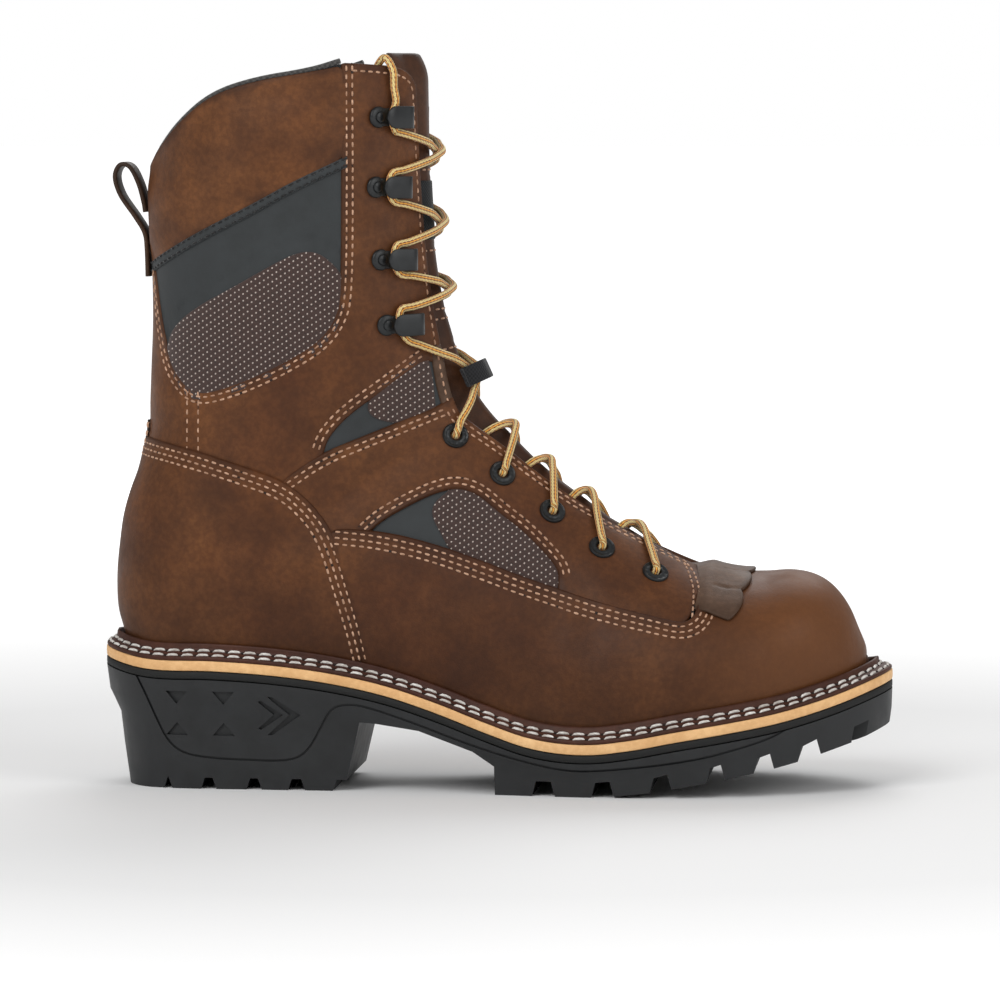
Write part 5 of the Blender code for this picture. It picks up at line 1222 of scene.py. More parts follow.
def ring_of(rows, side):
    """Flat loop of a side-view outline, closed on itself."""
    return traced(tuple(rows) + (rows[0],), side)[:-1]


def raised_rows(rows, up):
    """Side-view rows moved up by a share of the top height."""
    return tuple((length, height + up) for length, height in rows)


def window_mesh(which, rows, side):
    """Dotted mesh of one window, swelling a little away from its edge."""
    sheet("window_" + which + "_mesh_" + SIDE_NAMES[side], ring_of(rows, side), 0, 0.0002, CLOTH_TOP + 0.0006,
          MESH, pad=0.0004, pad_reach=0.004)


def make_windows(side):
    """Black panels, dotted mesh and the piped band in the three windows of one side."""
    name = SIDE_NAMES[side]
    outer = beside(resampled(ring_of(WINDOW_HIGH, side), 0, 0.001), 0.0, 0, 1, True)
    back = beside(outer, 0.003, 0, -np.sign(area_of(outer)), True)
    sheet("window_high_panel_" + name, back, 0, TUCK, CLOTH_TOP, BLACK_PANEL, creases=(traced(FRAME_LINE, side),))
    window_mesh("high", HIGH_MESH, side)
    band = np.concatenate([traced(HIGH_BAND, side), traced(raised_rows(HIGH_BAND, 0.016), side)[::-1]])
    sheet("window_band_" + name, band, 0, 0.0002, SHAFT_TOP, BLACK_PANEL,
          rows=(traced(raised_rows(HIGH_BAND, 0.003), side),), pad=0.0003, pad_reach=0.0015)
    sheet("window_low_panel_" + name, ring_of(LOW_PANEL, side), 0, TUCK, CLOTH_TOP, BLACK_PANEL)
    window_mesh("low", LOW_MESH, side)
    middle = to_throat(MIDDLE_PANEL, side)
    closing = throat_edge(middle[-1, 0], middle[0, 0], side, 30)
    sheet("window_middle_panel_" + name, np.concatenate([middle, closing]), 0, TUCK, CLOTH_TOP, BLACK_PANEL)
    window_mesh("middle", MIDDLE_MESH, side)
    edge = throat_edge(middle[-1, 0] + 0.02, middle[0, 0] - 0.02, side, 30)
    hand = off_throat(edge)
    strip = np.concatenate([edge, beside(edge, 0.0055, 0, hand)[::-1]])
    row = beside(edge, 0.0027, 0, hand)
    top = CLOTH_TOP + 0.0011
    sheet("gusset_edge_" + name, strip, 0, TUCK, top, KILTIE_SKIN, rows=(row,))
    return [(row, 0, top + THREAD_UP - ROW_DEPTH)]


# Leather panels
REAR_UNDER = ((0.342, 0.080), (0.334, 0.221), (0.320, 0.270), (0.302, 0.325), (0.290, 0.360))
VAMP_ROWS = VAMP_LINE[:11] + ((0.769, 0.262), (0.776, 0.276))


def make_vamp():
    """Vamp: one piece round the toe, its upper edge stitched down with three rows a side."""
    lines = {side: traced(REAR_UNDER + VAMP_LINE[1:], side) for side in (-1, 1)}
    sole = {side: np.column_stack([np.linspace(0, lines[side][0, 0], 100), np.full(100, side * SOLE_TURN)])
            for side in (-1, 1)}
    loop = np.concatenate([sole[-1], lines[-1], lines[1][::-1], sole[1][::-1],
                           np.column_stack([np.zeros(60), np.linspace(SOLE_TURN, -SOLE_TURN, 60)])])
    rows = [edge_row(VAMP_ROWS, side, ROW * k, (0.62, 0.05)) for side in (-1, 1) for k in (1, 2, 3)]
    sheet("vamp_leather", loop, 0, TUCK, LAP_TOP, LEATHER, rows=rows, lift=toward_sole(0.0005), step=0.0019,
          replaced=("vamp",))
    return [(row, 0, LAP_TOP + THREAD_UP - ROW_DEPTH) for row in rows]


def make_toe_fill():
    """Strip of leather across the toe's tip, where the vamp's two halves part just above the welt."""
    turn = np.linspace(0.12, 0.995, 26)
    share = np.linspace(0, 1, 9)
    flat = [np.column_stack([np.zeros(26), side * turn]) for side in (-1, 1)]
    height = LAP_TOP - 0.0002 + toward_sole(0.0005)(flat[1])
    ends = [on_form(one, 0, height) for one in flat]
    apart = np.linalg.norm(ends[1] - ends[0], axis=1)
    points = ends[0][:, None] + (ends[1] - ends[0])[:, None] * share[:, None]
    points[..., 0] += 0.10 * apart[:, None] * np.sin(math.pi * share)
    at = np.arange(26 * 9).reshape(26, 9)
    faces = np.stack([at[:-1, :-1], at[1:, :-1], at[1:, 1:], at[:-1, 1:]], -1).reshape(-1, 4)
    new_piece("vamp_toe_fill", points.reshape(-1, 3), [faces[:, ::-1]], LEATHER)


def make_counter():
    """Heel counter: one piece round the heel, with three rows inside its edge."""
    lines = {side: traced(COUNTER_LINE, side, 1) for side in (-1, 1)}
    sole = np.linspace(float(lines[-1][-1, 0]), HEEL_CORNER, 80)[1:]
    low = np.full(79, 1 - SOLE_TURN)
    loop = np.concatenate([lines[-1], np.column_stack([sole, -low]), np.column_stack([sole[::-1], low]),
                           lines[1][::-1]])
    rows = []
    for side in (-1, 1):
        for k in (1, 2, 3):
            row = edge_row(COUNTER_LINE[:-1], side, ROW * k, (0.12, 0.20), 1)
            rows.append(row[np.abs(row[:, 1]) > 0.012])
    sheet("counter_leather", loop, 1, TUCK, LAP_TOP, LEATHER, rows=rows, lift=toward_sole(-0.0005), step=0.0019,
          replaced=("counter",))
    return [(row, 1, LAP_TOP + THREAD_UP - ROW_DEPTH) for row in rows]


WINDOW_LOW_EDGE = ((0.584, 0.268), (0.585, 0.292), (0.582, 0.305), (0.565, 0.325), (0.539, 0.353), (0.506, 0.380),
                   (0.481, 0.403), (0.461, 0.411), (0.446, 0.411), (0.424, 0.404), (0.392, 0.387), (0.362, 0.368),
                   (0.345, 0.350))


def make_quarter(side):
    """Lower facing of one side: over the shaft, under the vamp and the counter, cut round the low window."""
    name = SIDE_NAMES[side]
    lap = 0.014
    front = QUARTER_FRONT[:4] + ((0.768, vamp_height(0.768) - lap),)
    along = tuple((x, float(vamp_height(x)) - lap) for x in (0.750, 0.700, 0.650, 0.600))
    rear = ((0.320, 0.330), (0.285, 0.352), (0.258, 0.388), (0.228, 0.410))
    path = to_throat(front + along + WINDOW_LOW_EDGE + rear + QUARTER_LINE, side)
    throat = throat_edge(path[-1, 0], path[0, 0], side)
    loop = np.concatenate([path, throat])
    hand = off_throat(throat)
    rows = []
    for k in (1, 2):
        edge = beside(throat, ROW * k, 0, hand)
        nose = edge_row(QUARTER_FRONT[1:4] + ((0.768, 0.235),), side, ROW * k, (0.60, 0.26))
        nose = nose[np.abs(nose[:, 1]) > np.abs(edge[-1, 1]) + 0.01]
        rows.append(np.concatenate([edge[3:-3], nose[4:]]))
        rows.append(edge_row(QUARTER_LINE[:5], side, ROW * (k - 0.1), (0.45, 0.40)))
        rows.append(edge_row(WINDOW_LOW_EDGE[1:], side, ROW * (k - 0.1), (0.60, 0.60)))
    sheet("quarter_leather_" + name, loop, 0, TUCK, QUARTER_TOP, LEATHER, rows=rows,
          replaced=("quarter_" + name,))
    return [(row, 0, QUARTER_TOP + THREAD_UP - ROW_DEPTH) for row in rows]


HIGH_EDGE = ((0.069, 0.716), (0.072, 0.703), (0.078, 0.657), (0.087, 0.613), (0.096, 0.581), (0.115, 0.553),
             (0.132, 0.544), (0.150, 0.546), (0.193, 0.562), (0.241, 0.587), (0.283, 0.615), (0.303, 0.643),
             (0.313, 0.677), (0.315, 0.850), (0.315, 0.992))
MIDDLE_EDGE = ((0.421, 0.583), (0.412, 0.588), (0.387, 0.568), (0.359, 0.544), (0.328, 0.520), (0.310, 0.502),
               (0.295, 0.482), (0.289, 0.462))
SIDE_SEAM = ((0.1245, 0.548), (0.1245, 0.460))


def make_shaft(side):
    """Shaft and upper facing of one side, cut round the high and middle windows."""
    name = SIDE_NAMES[side]
    under = ((0.286, 0.440), (0.262, 0.420), (0.238, 0.405), (0.195, 0.424), (0.122, 0.448), (0.048, 0.462),
             (-0.030, 0.464))
    back = ((-0.030, 0.660), (0.030, 0.690))
    top = ((0.318, 0.994),) + COLLAR_LINE[9:]
    path = to_throat(((0.450, 0.600),) + MIDDLE_EDGE + under + back + HIGH_EDGE + top, side)
    throat = throat_edge(path[-1, 0], path[0, 0], side)
    hand = off_throat(throat)
    rows = []
    for k in (1, 2):
        rows.append(edge_row(HIGH_EDGE, side, ROW * (k - 0.15), (0.36, 0.45)))
        rows.append(edge_row(MIDDLE_EDGE[1:], side, ROW * (k - 0.1), (0.25, 0.80)))
    front = beside(throat, 0.0029, 0, hand)
    top_row = edge_row(((0.318, 0.994),) + COLLAR_LINE[9:13], side, 0.0029, (0.36, 0.80))
    top_row = top_row[np.abs(top_row[:, 1]) > np.abs(front[0, 1]) + 0.004]
    rows.append(np.concatenate([top_row[3:], front[2:-4]]))
    seam = traced(SIDE_SEAM, side)
    for way in (1, -1):
        rows.append(beside(resampled(seam, 0, 0.001, False), 0.0026, 0, way))
    sheet("shaft_leather_" + name, np.concatenate([path, throat]), 0, TUCK, SHAFT_TOP, LEATHER, rows=rows,
          creases=(seam,), replaced=("shaft_" + name,))
    return [(row, 0, SHAFT_TOP + THREAD_UP - ROW_DEPTH) for row in rows]


def make_collar(side):
    """Padded collar panel of one side: full in its middle, thin at its seams."""
    name = SIDE_NAMES[side]
    low = ((-0.050, 0.640),) + COLLAR_PANEL_LINE + ((0.332, 0.866),)
    top = ((0.332, 0.993),) + COLLAR_LINE[7::-1]
    path = traced(low + top, side)
    path = path[np.abs(path[:, 1]) <= 1.0]
    piece = sheet("collar_leather_" + name, path, 0, TUCK, COLLAR_TOP, LEATHER, pad=0.0026, pad_reach=0.012,
                  replaced=("collar_" + name,))
    rim = traced(COLLAR_LINE[1:9], side)
    path = on_form(resampled(rim, 0, 0.0015, False), 0, -0.0006)
    path[:, 2] += 0.0006
    guide = normals_on(resampled(rim, 0, 0.0015, False), 0)
    points, faces = carried(path, guide, circle(0.0011, 10))
    new_piece("collar_binding_" + name, points, outward(points, faces), LINING)


def make_tongue_leather():
    """Tongue: a soft sheet behind the lacing, seamed across, with a bare dark label patch."""
    start = float(section_of(HEEL_X + (THROAT_END + 0.012) * BOOT_LENGTH, 0.0)[0])
    first = float(section_of(HEEL_X + THROAT_END * BOOT_LENGTH, 0.0)[0])
    end = level_s(1.008)
    s = np.linspace(start, end, 160)
    outline = {}
    for side in (-1, 1):
        edge = throat_turn(s, side)
        reach = np.linalg.norm(form(s, edge + 0.01, side) - form(s, edge, side), axis=-1) / 0.01
        corner = 1 - 0.12 * np.clip((s - (end - 0.045)) / 0.045, 0, 1) ** 3
        outline[side] = np.column_stack([s, side * (edge + TONGUE_UNDERLAP / reach) * corner])

    def lift(flat):
        share = np.zeros(len(flat))
        for side in (-1, 1):
            here = (flat[:, 1] < 0) == (side < 0)
            edge = throat_turn(flat[:, 0], side)
            part = np.clip((np.abs(flat[:, 1]) / edge - 0.20) / 0.64, 0, 1)
            share = np.where(here, part * part * (3 - 2 * part), share)
        height = -(WALL + TONGUE_GAP) * share
        dip = np.clip((first + 0.05 - flat[:, 0]) / 0.03, 0, 1)
        back = np.clip((flat[:, 0] - (end - 0.10)) / 0.10, 0, 1) ** 2
        return np.minimum(height, -(WALL + TONGUE_GAP) * dip) - SEAM_GAP - 0.0036 * back

    across = np.linspace(-0.42, 0.42, 30)
    seams = [np.column_stack([np.full(30, level_s(h)), across]) for h in (0.841, 0.744, 0.650, 0.602)]
    sheet("tongue_leather", np.concatenate([outline[-1], outline[1][::-1]]), 0, -TONGUE_LEATHER, 0.0, TONGUE_SKIN,
          lift=lift, creases=seams, closed=True, replaced=("tongue",))
    label = np.array([(level_s(0.752), -0.16), (level_s(0.833), -0.16), (level_s(0.833), 0.16),
                      (level_s(0.752), 0.16)])
    sheet("tongue_label", label, 0, -0.0006, 0.0006, BLACK_CLOTH, lift=lift)
    rows = [np.column_stack([np.full(30, level_s(h)), across * 0.6]) for h in (0.848, 0.737, 0.657, 0.643, 0.596)]
    return [(row, 0, lift(resampled(row, 0, 0.0008, False)) - 0.0001) for row in rows]


def make_kiltie_leather():
    """Kiltie: a fringed flap that comes out from under the facings and lies on the vamp."""
    front = float(section_of(HEEL_X + 0.826 * BOOT_LENGTH, 0.0)[0])
    back = float(section_of(HEEL_X + 0.735 * BOOT_LENGTH, 0.0)[0])
    turn = 0.375
    share = np.linspace(-1, 1, 400)
    lobes = np.abs(np.sin((share + 1) * 2.5 * math.pi)) ** 0.6
    edge_s = front + 0.018 + 0.050 * share ** 2 - 0.020 * lobes
    edge = np.column_stack([edge_s, share * turn])
    rear = np.column_stack([np.full(60, back), np.linspace(turn * 0.86, -turn * 0.86, 60)])
    over_vamp = float(section_of(HEEL_X + 0.772 * BOOT_LENGTH, 0.0)[0])
    tucked = float(section_of(HEEL_X + 0.742 * BOOT_LENGTH, 0.0)[0])

    def lift(flat):
        part = np.clip((flat[:, 0] - over_vamp) / (tucked - over_vamp), 0, 1)
        low = part * part * (3 - 2 * part)
        ripple = 0.00012 * np.sin(flat[:, 1] * 34) * (1 - low)
        return (LAP_TOP + KILTIE_LEATHER * 0.8 + 0.0002) * (1 - low) - 0.0004 * low + ripple

    slits = []
    for k in range(1, 5):
        at = (2 * k / 5 - 1) * turn
        s = np.linspace(front + 0.002, front + (back - front) * (0.45 + 0.1 * (k % 2)), 24)
        slits.append(np.column_stack([s, at * (1 - 0.3 * (s - front)) + 0.003 * np.sin(s * 50 + k)]))
    sheet("kiltie_leather", np.concatenate([edge, rear]), 0, -KILTIE_LEATHER * 0.8, 0.0, KILTIE_SKIN, lift=lift,
          creases=slits, closed=True, step=0.0011, replaced=("kiltie",))


# Hardware
def frame_on(length, height, side, lift):
    """Point on the form and three directions there: toward the throat, across it, and outward."""
    s, turn = on_side(*side_point((length, height)))
    flat = np.array([[float(s), side * float(turn)]])
    point = on_form(flat, 0, lift)[0]
    normal = normals_on(flat, 0)[0]
    toward = on_form(flat - [[0, side * 0.02]], 0)[0] - on_form(flat + [[0, side * 0.02]], 0)[0]
    toward -= normal * toward.dot(normal)
    toward /= np.linalg.norm(toward)
    return point, np.stack([toward, np.cross(normal, toward), normal])


def turned(profile, segments):
    """Points and faces of a closed profile of (radius, height) turned round its axis."""
    profile = np.asarray(profile, float)
    angle = 2 * math.pi * np.arange(segments) / segments
    points = np.stack([profile[:, 0] * np.cos(angle)[:, None], profile[:, 0] * np.sin(angle)[:, None],
                       np.broadcast_to(profile[:, 1], (segments, len(profile)))], -1)
    at = np.arange(segments * len(profile)).reshape(segments, -1)
    ahead = np.roll(at, -1, 0)
    faces = np.stack([at, ahead, np.roll(ahead, -1, 1), np.roll(at, -1, 1)], -1).reshape(-1, 4)
    return points.reshape(-1, 3), [faces]


def make_eyelets():
    """Eyelets: a rounded flange with a groove and a ring of dimples, and a barrel through the leather."""
    r, hole = EYELET_RADIUS, EYELET_HOLE
    profile = ((hole, -0.0036), (hole, 0.0003), (hole + 0.0003, 0.0008), (hole + 0.0007, 0.0010),
               (r * 0.62, 0.0008), (r * 0.70, 0.0007), (r * 0.84, 0.00075), (r * 0.92, 0.0010),
               (r * 0.98, 0.0007), (r, 0.0002), (r, -0.0002), (EYELET_BARREL, -0.0002), (EYELET_BARREL, -0.0036))
    for side in (-1, 1):
        for k, (length, height) in enumerate(EYELETS):
            points, faces = turned(profile, 48)
            angle = np.arctan2(points[:, 1], points[:, 0])
            reach = np.hypot(points[:, 0], points[:, 1])
            groove = np.exp(-((reach - r * 0.77) / (r * 0.12)) ** 2) * (points[:, 2] > 0.0005)
            points[:, 2] -= 0.00022 * groove * (np.cos(12 * angle) > 0.2)
            centre, basis = frame_on(length, height, side, QUARTER_TOP + 0.0001)
            piece = new_piece("eyelet_ring_%s_%d" % (SIDE_NAMES[side], k + 1), points @ basis + centre,
                              outward(points, faces), COATED,
                              ("eyelet_%s_%d" % (SIDE_NAMES[side], k + 1),))
            piece.data.set_sharp_from_angle(angle=math.radians(50))


def make_hooks():
    """Speed hooks: a riveted round base, and a sheet that rises at the throat's side and folds back over it."""
    half, top, reach = HOOK_LENGTH / 2, HOOK_SHEET + HOOK_MOUTH, HOOK_LENGTH * 0.66
    bend = top / 2
    angle = np.linspace(-math.pi / 2, math.pi / 2, 9)
    low = np.column_stack([np.linspace(-half + 0.001, reach - bend, 8), np.full(8, 0.0006)])
    round_part = np.column_stack([reach - bend + bend * np.cos(angle), 0.0006 + bend + bend * np.sin(angle)])
    back = np.column_stack([np.linspace(reach - bend, -half, 18), np.full(18, 0.0006 + top)])
    path = np.concatenate([low, round_part[1:], back[1:]])
    upper = np.arange(len(path)) > len(low) + 4
    rear = np.clip((path[:, 0] + half) / 0.0042, 0, 1)
    narrow = np.where(upper, np.sqrt(np.clip(1 - (1 - rear) ** 2, 0.02, 1)), 0.80)
    blend = np.clip((np.arange(len(path)) - len(low) - 1) / 5, 0, 1)
    width = HOOK_WIDTH * 1.04 * np.where(upper, narrow, 0.80 + 0.20 * blend)
    section = rounded_box(1.0, HOOK_SHEET, HOOK_CORNER)
    sections = np.repeat(section[None], len(path), axis=0)
    sections[..., 0] = np.sign(section[:, 0]) * (width[:, None] / 2 - (0.5 - np.abs(section[:, 0])))
    path3 = np.column_stack([path[:, 0], np.zeros(len(path)), path[:, 1]])
    along = np.gradient(path3, axis=0)
    guide = np.cross(along, [0.0, 1.0, 0.0])
    r = HOOK_BASE_RADIUS
    base = ((0.0, -0.0002), (r, -0.0002), (r, 0.0006), (r * 0.9, 0.0010), (r * 0.50, 0.0011), (r * 0.46, 0.0018),
            (r * 0.30, 0.0021), (0.0, 0.0022))
    for side in (-1, 1):
        for k, (length, height) in enumerate(HOOKS):
            plate = carried(path3, guide, sections)
            disc = turned(base, 36)
            disc = (disc[0] + [-half - 0.0006, 0, 0], disc[1])
            points, faces = joined([(plate[0], outward(*plate)), (disc[0], outward(*disc))])
            centre, basis = frame_on(length, height, side, SHAFT_TOP)
            name = "%s_%d" % (SIDE_NAMES[side], k + 1)
            piece = new_piece("hook_plate_" + name, points @ basis + centre, faces, COATED,
                              ("hook_" + name,))
            piece.data.set_sharp_from_angle(angle=math.radians(50))


# Lace
def lace_over(s, turn, facing_height):
    """Height of a strand's middle: low over the tongue, up over the facing's edge."""
    share = np.zeros(np.shape(turn))
    for side in (-1, 1):
        edge = throat_turn(s, side)
        part = np.clip((np.abs(turn) / edge - 0.40) / 0.45, 0, 1)
        share = np.where((turn <= 0) == (side < 0), part * part * (3 - 2 * part), share)
    low = 3 * SEAM_GAP + LACE_RADIUS
    return low + (facing_height - low) * share


def cord_piece(name, paths, replaced=()):
    """Round lace along several paths of (points, outward guides), with its length and girth as UV."""
    parts, uvs = [], []
    sides = 16
    for points, guide in paths:
        made, faces = carried(points, guide, circle(LACE_RADIUS, sides))
        run = np.r_[0, np.cumsum(np.linalg.norm(np.diff(points, axis=0), axis=1))]
        around = np.abs(((np.arange(sides) / sides + 0.25) % 1.0) * 2 - 1)
        uv = np.stack(np.broadcast_arrays(run[:, None], around[None]), -1).reshape(-1, 2)
        uvs.append(np.vstack([uv, [[0, 0.5], [run[-1], 0.5]]]))
        parts.append((made, outward(made, faces)))
    points, faces = joined(parts)
    return new_piece(name, points, faces, LACE, replaced, uv=np.concatenate(uvs))


def crossing_path(k, side, lift):
    """Waypoints (s, across, height) of the strand that leaves level k on one side for the next on the other."""
    levels = [on_side(*side_point(level)) for level in HOOKS + EYELETS]
    (s_a, turn_a), (s_b, turn_b) = levels[k], levels[k + 1]
    s_a, turn_a, s_b, turn_b = float(s_a), float(turn_a), float(s_b), float(turn_b)
    over_hook = SHAFT_TOP + 0.0009 + LACE_RADIUS
    over_eyelet = QUARTER_TOP + 0.0011 + LACE_RADIUS
    step = HOOK_CLEAR / RISE * 0.9
    if k < len(HOOKS):
        s_a, high_a = s_a - step, over_hook
    else:
        turn_a = 1.10 * float(throat_turn(np.float64(s_a), side))
        s_a -= 0.22 * (s_a - s_b)
        high_a = QUARTER_TOP * 0.2
    if k + 1 < len(HOOKS):
        s_b, high_b = s_b + step, over_hook
    else:
        high_b = over_eyelet
    u = np.linspace(0, 1, 15)
    s = s_a + (s_b - s_a) * u
    turn = side * (turn_a + (-turn_b - turn_a) * u)
    height = lace_over(s, turn, high_a + (high_b - high_a) * u)
    if k >= len(HOOKS):
        under = -(WALL + LACE_RADIUS + 0.0004)
        edge = np.clip((1.02 - side * turn / throat_turn(s, side)) / 0.30, 0, 1)
        height = np.where(u < 0.5, under + (np.maximum(height, 0.0010) - under) * edge, height)
    return np.column_stack([s, turn, height + lift * np.exp(-((u - 0.5) / 0.17) ** 2)])


def smooth_on(place, guides):
    """Smooth path through points with their guides."""
    run = np.r_[0, np.cumsum(np.linalg.norm(np.diff(place, axis=0), axis=1))]
    at = np.linspace(0, run[-1], int(run[-1] / 0.0006) + 2)
    path = np.column_stack([smooth_curve(list(zip(run, place[:, k])))(at) for k in range(3)])
    guide = np.column_stack([np.interp(at, run, guides[:, k]) for k in range(3)])
    return path, guide / np.linalg.norm(guide, axis=1, keepdims=True)


def make_lace():
    """Lace: two long runs zigzag between the hooks, and one strand goes into each eyelet from over the edge."""
    rise = 0.0026
    lower = []
    for start in (-1, 1):
        side, rows = start, []
        for k in range(len(HOOKS)):
            lift = rise if side > 0 else 0.0
            strand = crossing_path(k, side, lift)
            if k:
                turn = side * float(on_side(*side_point(HOOKS[k]))[1])
                s = float(on_side(*side_point(HOOKS[k]))[0])
                under = SHAFT_TOP + 0.0012 + LACE_RADIUS
                rows.append(np.array([[s, turn + side * 0.012, under]]))
            rows.append(strand)
            side = -side
        run = np.concatenate(rows)
        place = on_form(run[:, :2], 0, run[:, 2])
        guide = normals_on(run[:, :2], 0)
        place, guide = into_eyelet(place, guide, 0, side)
        lower.append(smooth_on(place, guide))
    cord_piece("lace_upper_run", lower, tuple("lace_crossing_%d" % (k + 1) for k in range(len(HOOKS))))
    lower = []
    for k in range(len(HOOKS), len(HOOKS) + len(EYELETS) - 1):
        for side in (-1, 1):
            run = crossing_path(k, side, rise * 0.7 if side > 0 else 0.0)
            place = on_form(run[:, :2], 0, run[:, 2])
            place, guide = into_eyelet(place, normals_on(run[:, :2], 0), k - len(HOOKS) + 1, -side)
            lower.append(smooth_on(place, guide))
    cord_piece("lace_lower_run", lower, tuple("lace_crossing_%d" % (k + 1) for k in range(len(HOOKS), 8)))


def into_eyelet(place, guide, number, side):
    """Path whose last point bends down into an eyelet's hole."""
    centre, basis = frame_on(*EYELETS[number], side, QUARTER_TOP)
    normal = basis[2]
    down = np.array([centre + normal * 0.0021, centre + normal * 0.0004, centre - normal * 0.0022])
    return np.concatenate([place[:-1], down]), np.concatenate([guide[:-1], np.repeat(basis[:1], 3, 0)])


def make_lace_ends():
    """Free lace ends: from the top hook up over the facing's top and down into the boot."""
    for side in (-1, 1):
        name = SIDE_NAMES[side]
        s_hook, turn = (float(v) for v in on_side(*side_point(HOOKS[0])))
        top = level_s(0.999)
        outside = SHAFT_TOP + 0.0006 + LACE_RADIUS
        inner = -(WALL + LACE_RADIUS + 0.0005)
        over = 0.0024 / RISE
        route = np.array((
            (s_hook - HOOK_CLEAR / RISE * 0.9, turn, outside + 0.0004),
            (s_hook, turn + 0.012, outside + 0.0006),
            (s_hook + HOOK_CLEAR / RISE, turn - 0.004, outside + 0.0002),
            ((s_hook + top) / 2, turn, outside),
            (top - 1.6 * over, turn + 0.004, outside),
            (top + 0.2 * over, turn + 0.010, (outside + inner) / 2),
            (top - 1.4 * over, turn + 0.018, inner),
            (top - 6.0 * over, turn + 0.030, inner - 0.0004),
            (top - 10.0 * over, turn + 0.060, inner - 0.0006)))
        flat = np.column_stack([route[:, 0], side * route[:, 1]])
        place = on_form(flat, 0, route[:, 2])
        path, guide = smooth_on(place, normals_on(flat, 0))
        piece = cord_piece("lace_tail_" + name, [(path, guide)], ("lace_end_" + name,))


def strap(name, path, guide, width, thickness, material, replaced=()):
    """Flat strap with rounded edges along a path."""
    points, faces = carried(path, guide, rounded_box(width, thickness, thickness * 0.42))
    piece = new_piece(name, points, outward(points, faces), material, replaced)
    piece.data.set_sharp_from_angle(angle=math.radians(60))
    return piece


def make_pull_loop():
    """Pull loop: one strap up the shaft's back, out, round and back to the shaft."""
    surface = SHAFT_TOP + LOOP_STRAP / 2 + 0.0004
    share = np.linspace(0, 1, len(LOOP_PATH))
    fine = np.linspace(0, 1, 140)
    stand_off = smooth_curve(list(zip(share, [row[0] for row in LOOP_PATH])))(fine)
    height = smooth_curve(list(zip(share, [row[1] for row in LOOP_PATH])))(fine) * TOP_HEIGHT
    path = np.column_stack([back_x(height) - surface - np.clip(stand_off, 0, None), np.zeros(140), height])
    guide = np.cross(np.gradient(path, axis=0), [0.0, 1.0, 0.0])
    strap("pull_loop_strap", path, guide, LOOP_WIDTH, LOOP_STRAP, STRAP_SKIN, ("pull_loop",))


def make_keeper():
    """Lace keeper: a webbing bridge on the tongue that the lace passes under."""
    levels = [on_side(*side_point(row)) for row in (HOOKS[-1], EYELETS[0])]
    start = float(levels[0][0]) - HOOK_CLEAR / RISE
    share = float(levels[0][1]) / (float(levels[0][1]) + float(levels[1][1]))
    s = start + (float(levels[1][0]) - start) * share
    rise = 2 * LACE_RADIUS + LACE_LIFT + 0.0040
    half = KEEPER_HALF
    rows = np.array(((-half, -0.0004), (-half * 0.86, -0.0002), (-half * 0.74, rise * 0.6), (-half * 0.5, rise),
                     (0, rise * 1.05), (half * 0.5, rise), (half * 0.74, rise * 0.6), (half * 0.86, -0.0002),
                     (half, -0.0004)))
    centre = on_form(np.array([[s, 1e-6]]), 0)[0]
    normal = normals_on(np.array([[s, 1e-6]]), 0)[0]
    normal[1] = 0
    normal /= np.linalg.norm(normal)
    line = smooth_path(rows, 0.0005)
    path = centre + np.outer(line[:, 0], [0, 1, 0]) + np.outer(line[:, 1], normal)
    guide = np.cross([0.0, 1.0, 0.0], normal)
    turn = np.gradient(path, axis=0)
    strap("keeper_strap", path, np.cross(turn, guide), KEEPER_LENGTH, KEEPER_STRAP, WEBBING,
          ("lace_keeper",))


# Sole
def loft(rings, stations=260, wrap=True):
    """Closed ring or slab round the sole, from rings of (inset by q and side, height by x)."""
    q = np.linspace(0, 1, stations + 1)
    loops = []
    for inset, height in rings:
        lateral = sole_edge(q, -1, inset(q, -1))
        medial = sole_edge(q, 1, inset(q, 1))[::-1][1:-1]
        plan = np.concatenate([lateral, medial])
        loops.append(np.column_stack([plan, height(plan[:, 0])]))
    count = len(loops[0])
    at = np.arange(len(loops) * count).reshape(len(loops), count)
    if wrap:
        at = np.vstack([at, at[:1]])
    ahead = np.roll(at, -1, 1)
    faces = [np.stack([at[:-1], ahead[:-1], ahead[1:], at[1:]], -1).reshape(-1, 4)]
    if not wrap:
        i = np.arange(stations)
        for base, flip in ((0, False), ((len(loops) - 1) * count, True)):
            cap = np.column_stack([i, i + 1, (count - i - 1) % count, (count - i) % count]) + base
            faces.append(cap[:, ::-1] if flip else cap)
    points = np.concatenate(loops)
    return points, outward(points, faces)


def even(value):
    """Inset that is the same all round."""
    return lambda q, side: np.full(np.shape(q), value)


def over_seat(offset):
    """Height function parallel to the midsole's top."""
    return lambda x: seat_line(x) + offset


def slab(low, high, corner, bulge=0.0):
    """Rings of a slab with rounded edges, its side bulging a little."""
    return ((even(corner * 1.5), over_seat(low)), (even(corner * 0.4), over_seat(low + corner * 0.3)),
            (even(0.0), over_seat(low + corner)), (even(-bulge), over_seat((low + high) / 2)),
            (even(0.0), over_seat(high - corner)), (even(corner * 0.4), over_seat(high - corner * 0.3)),
            (even(corner * 1.5), over_seat(high)))


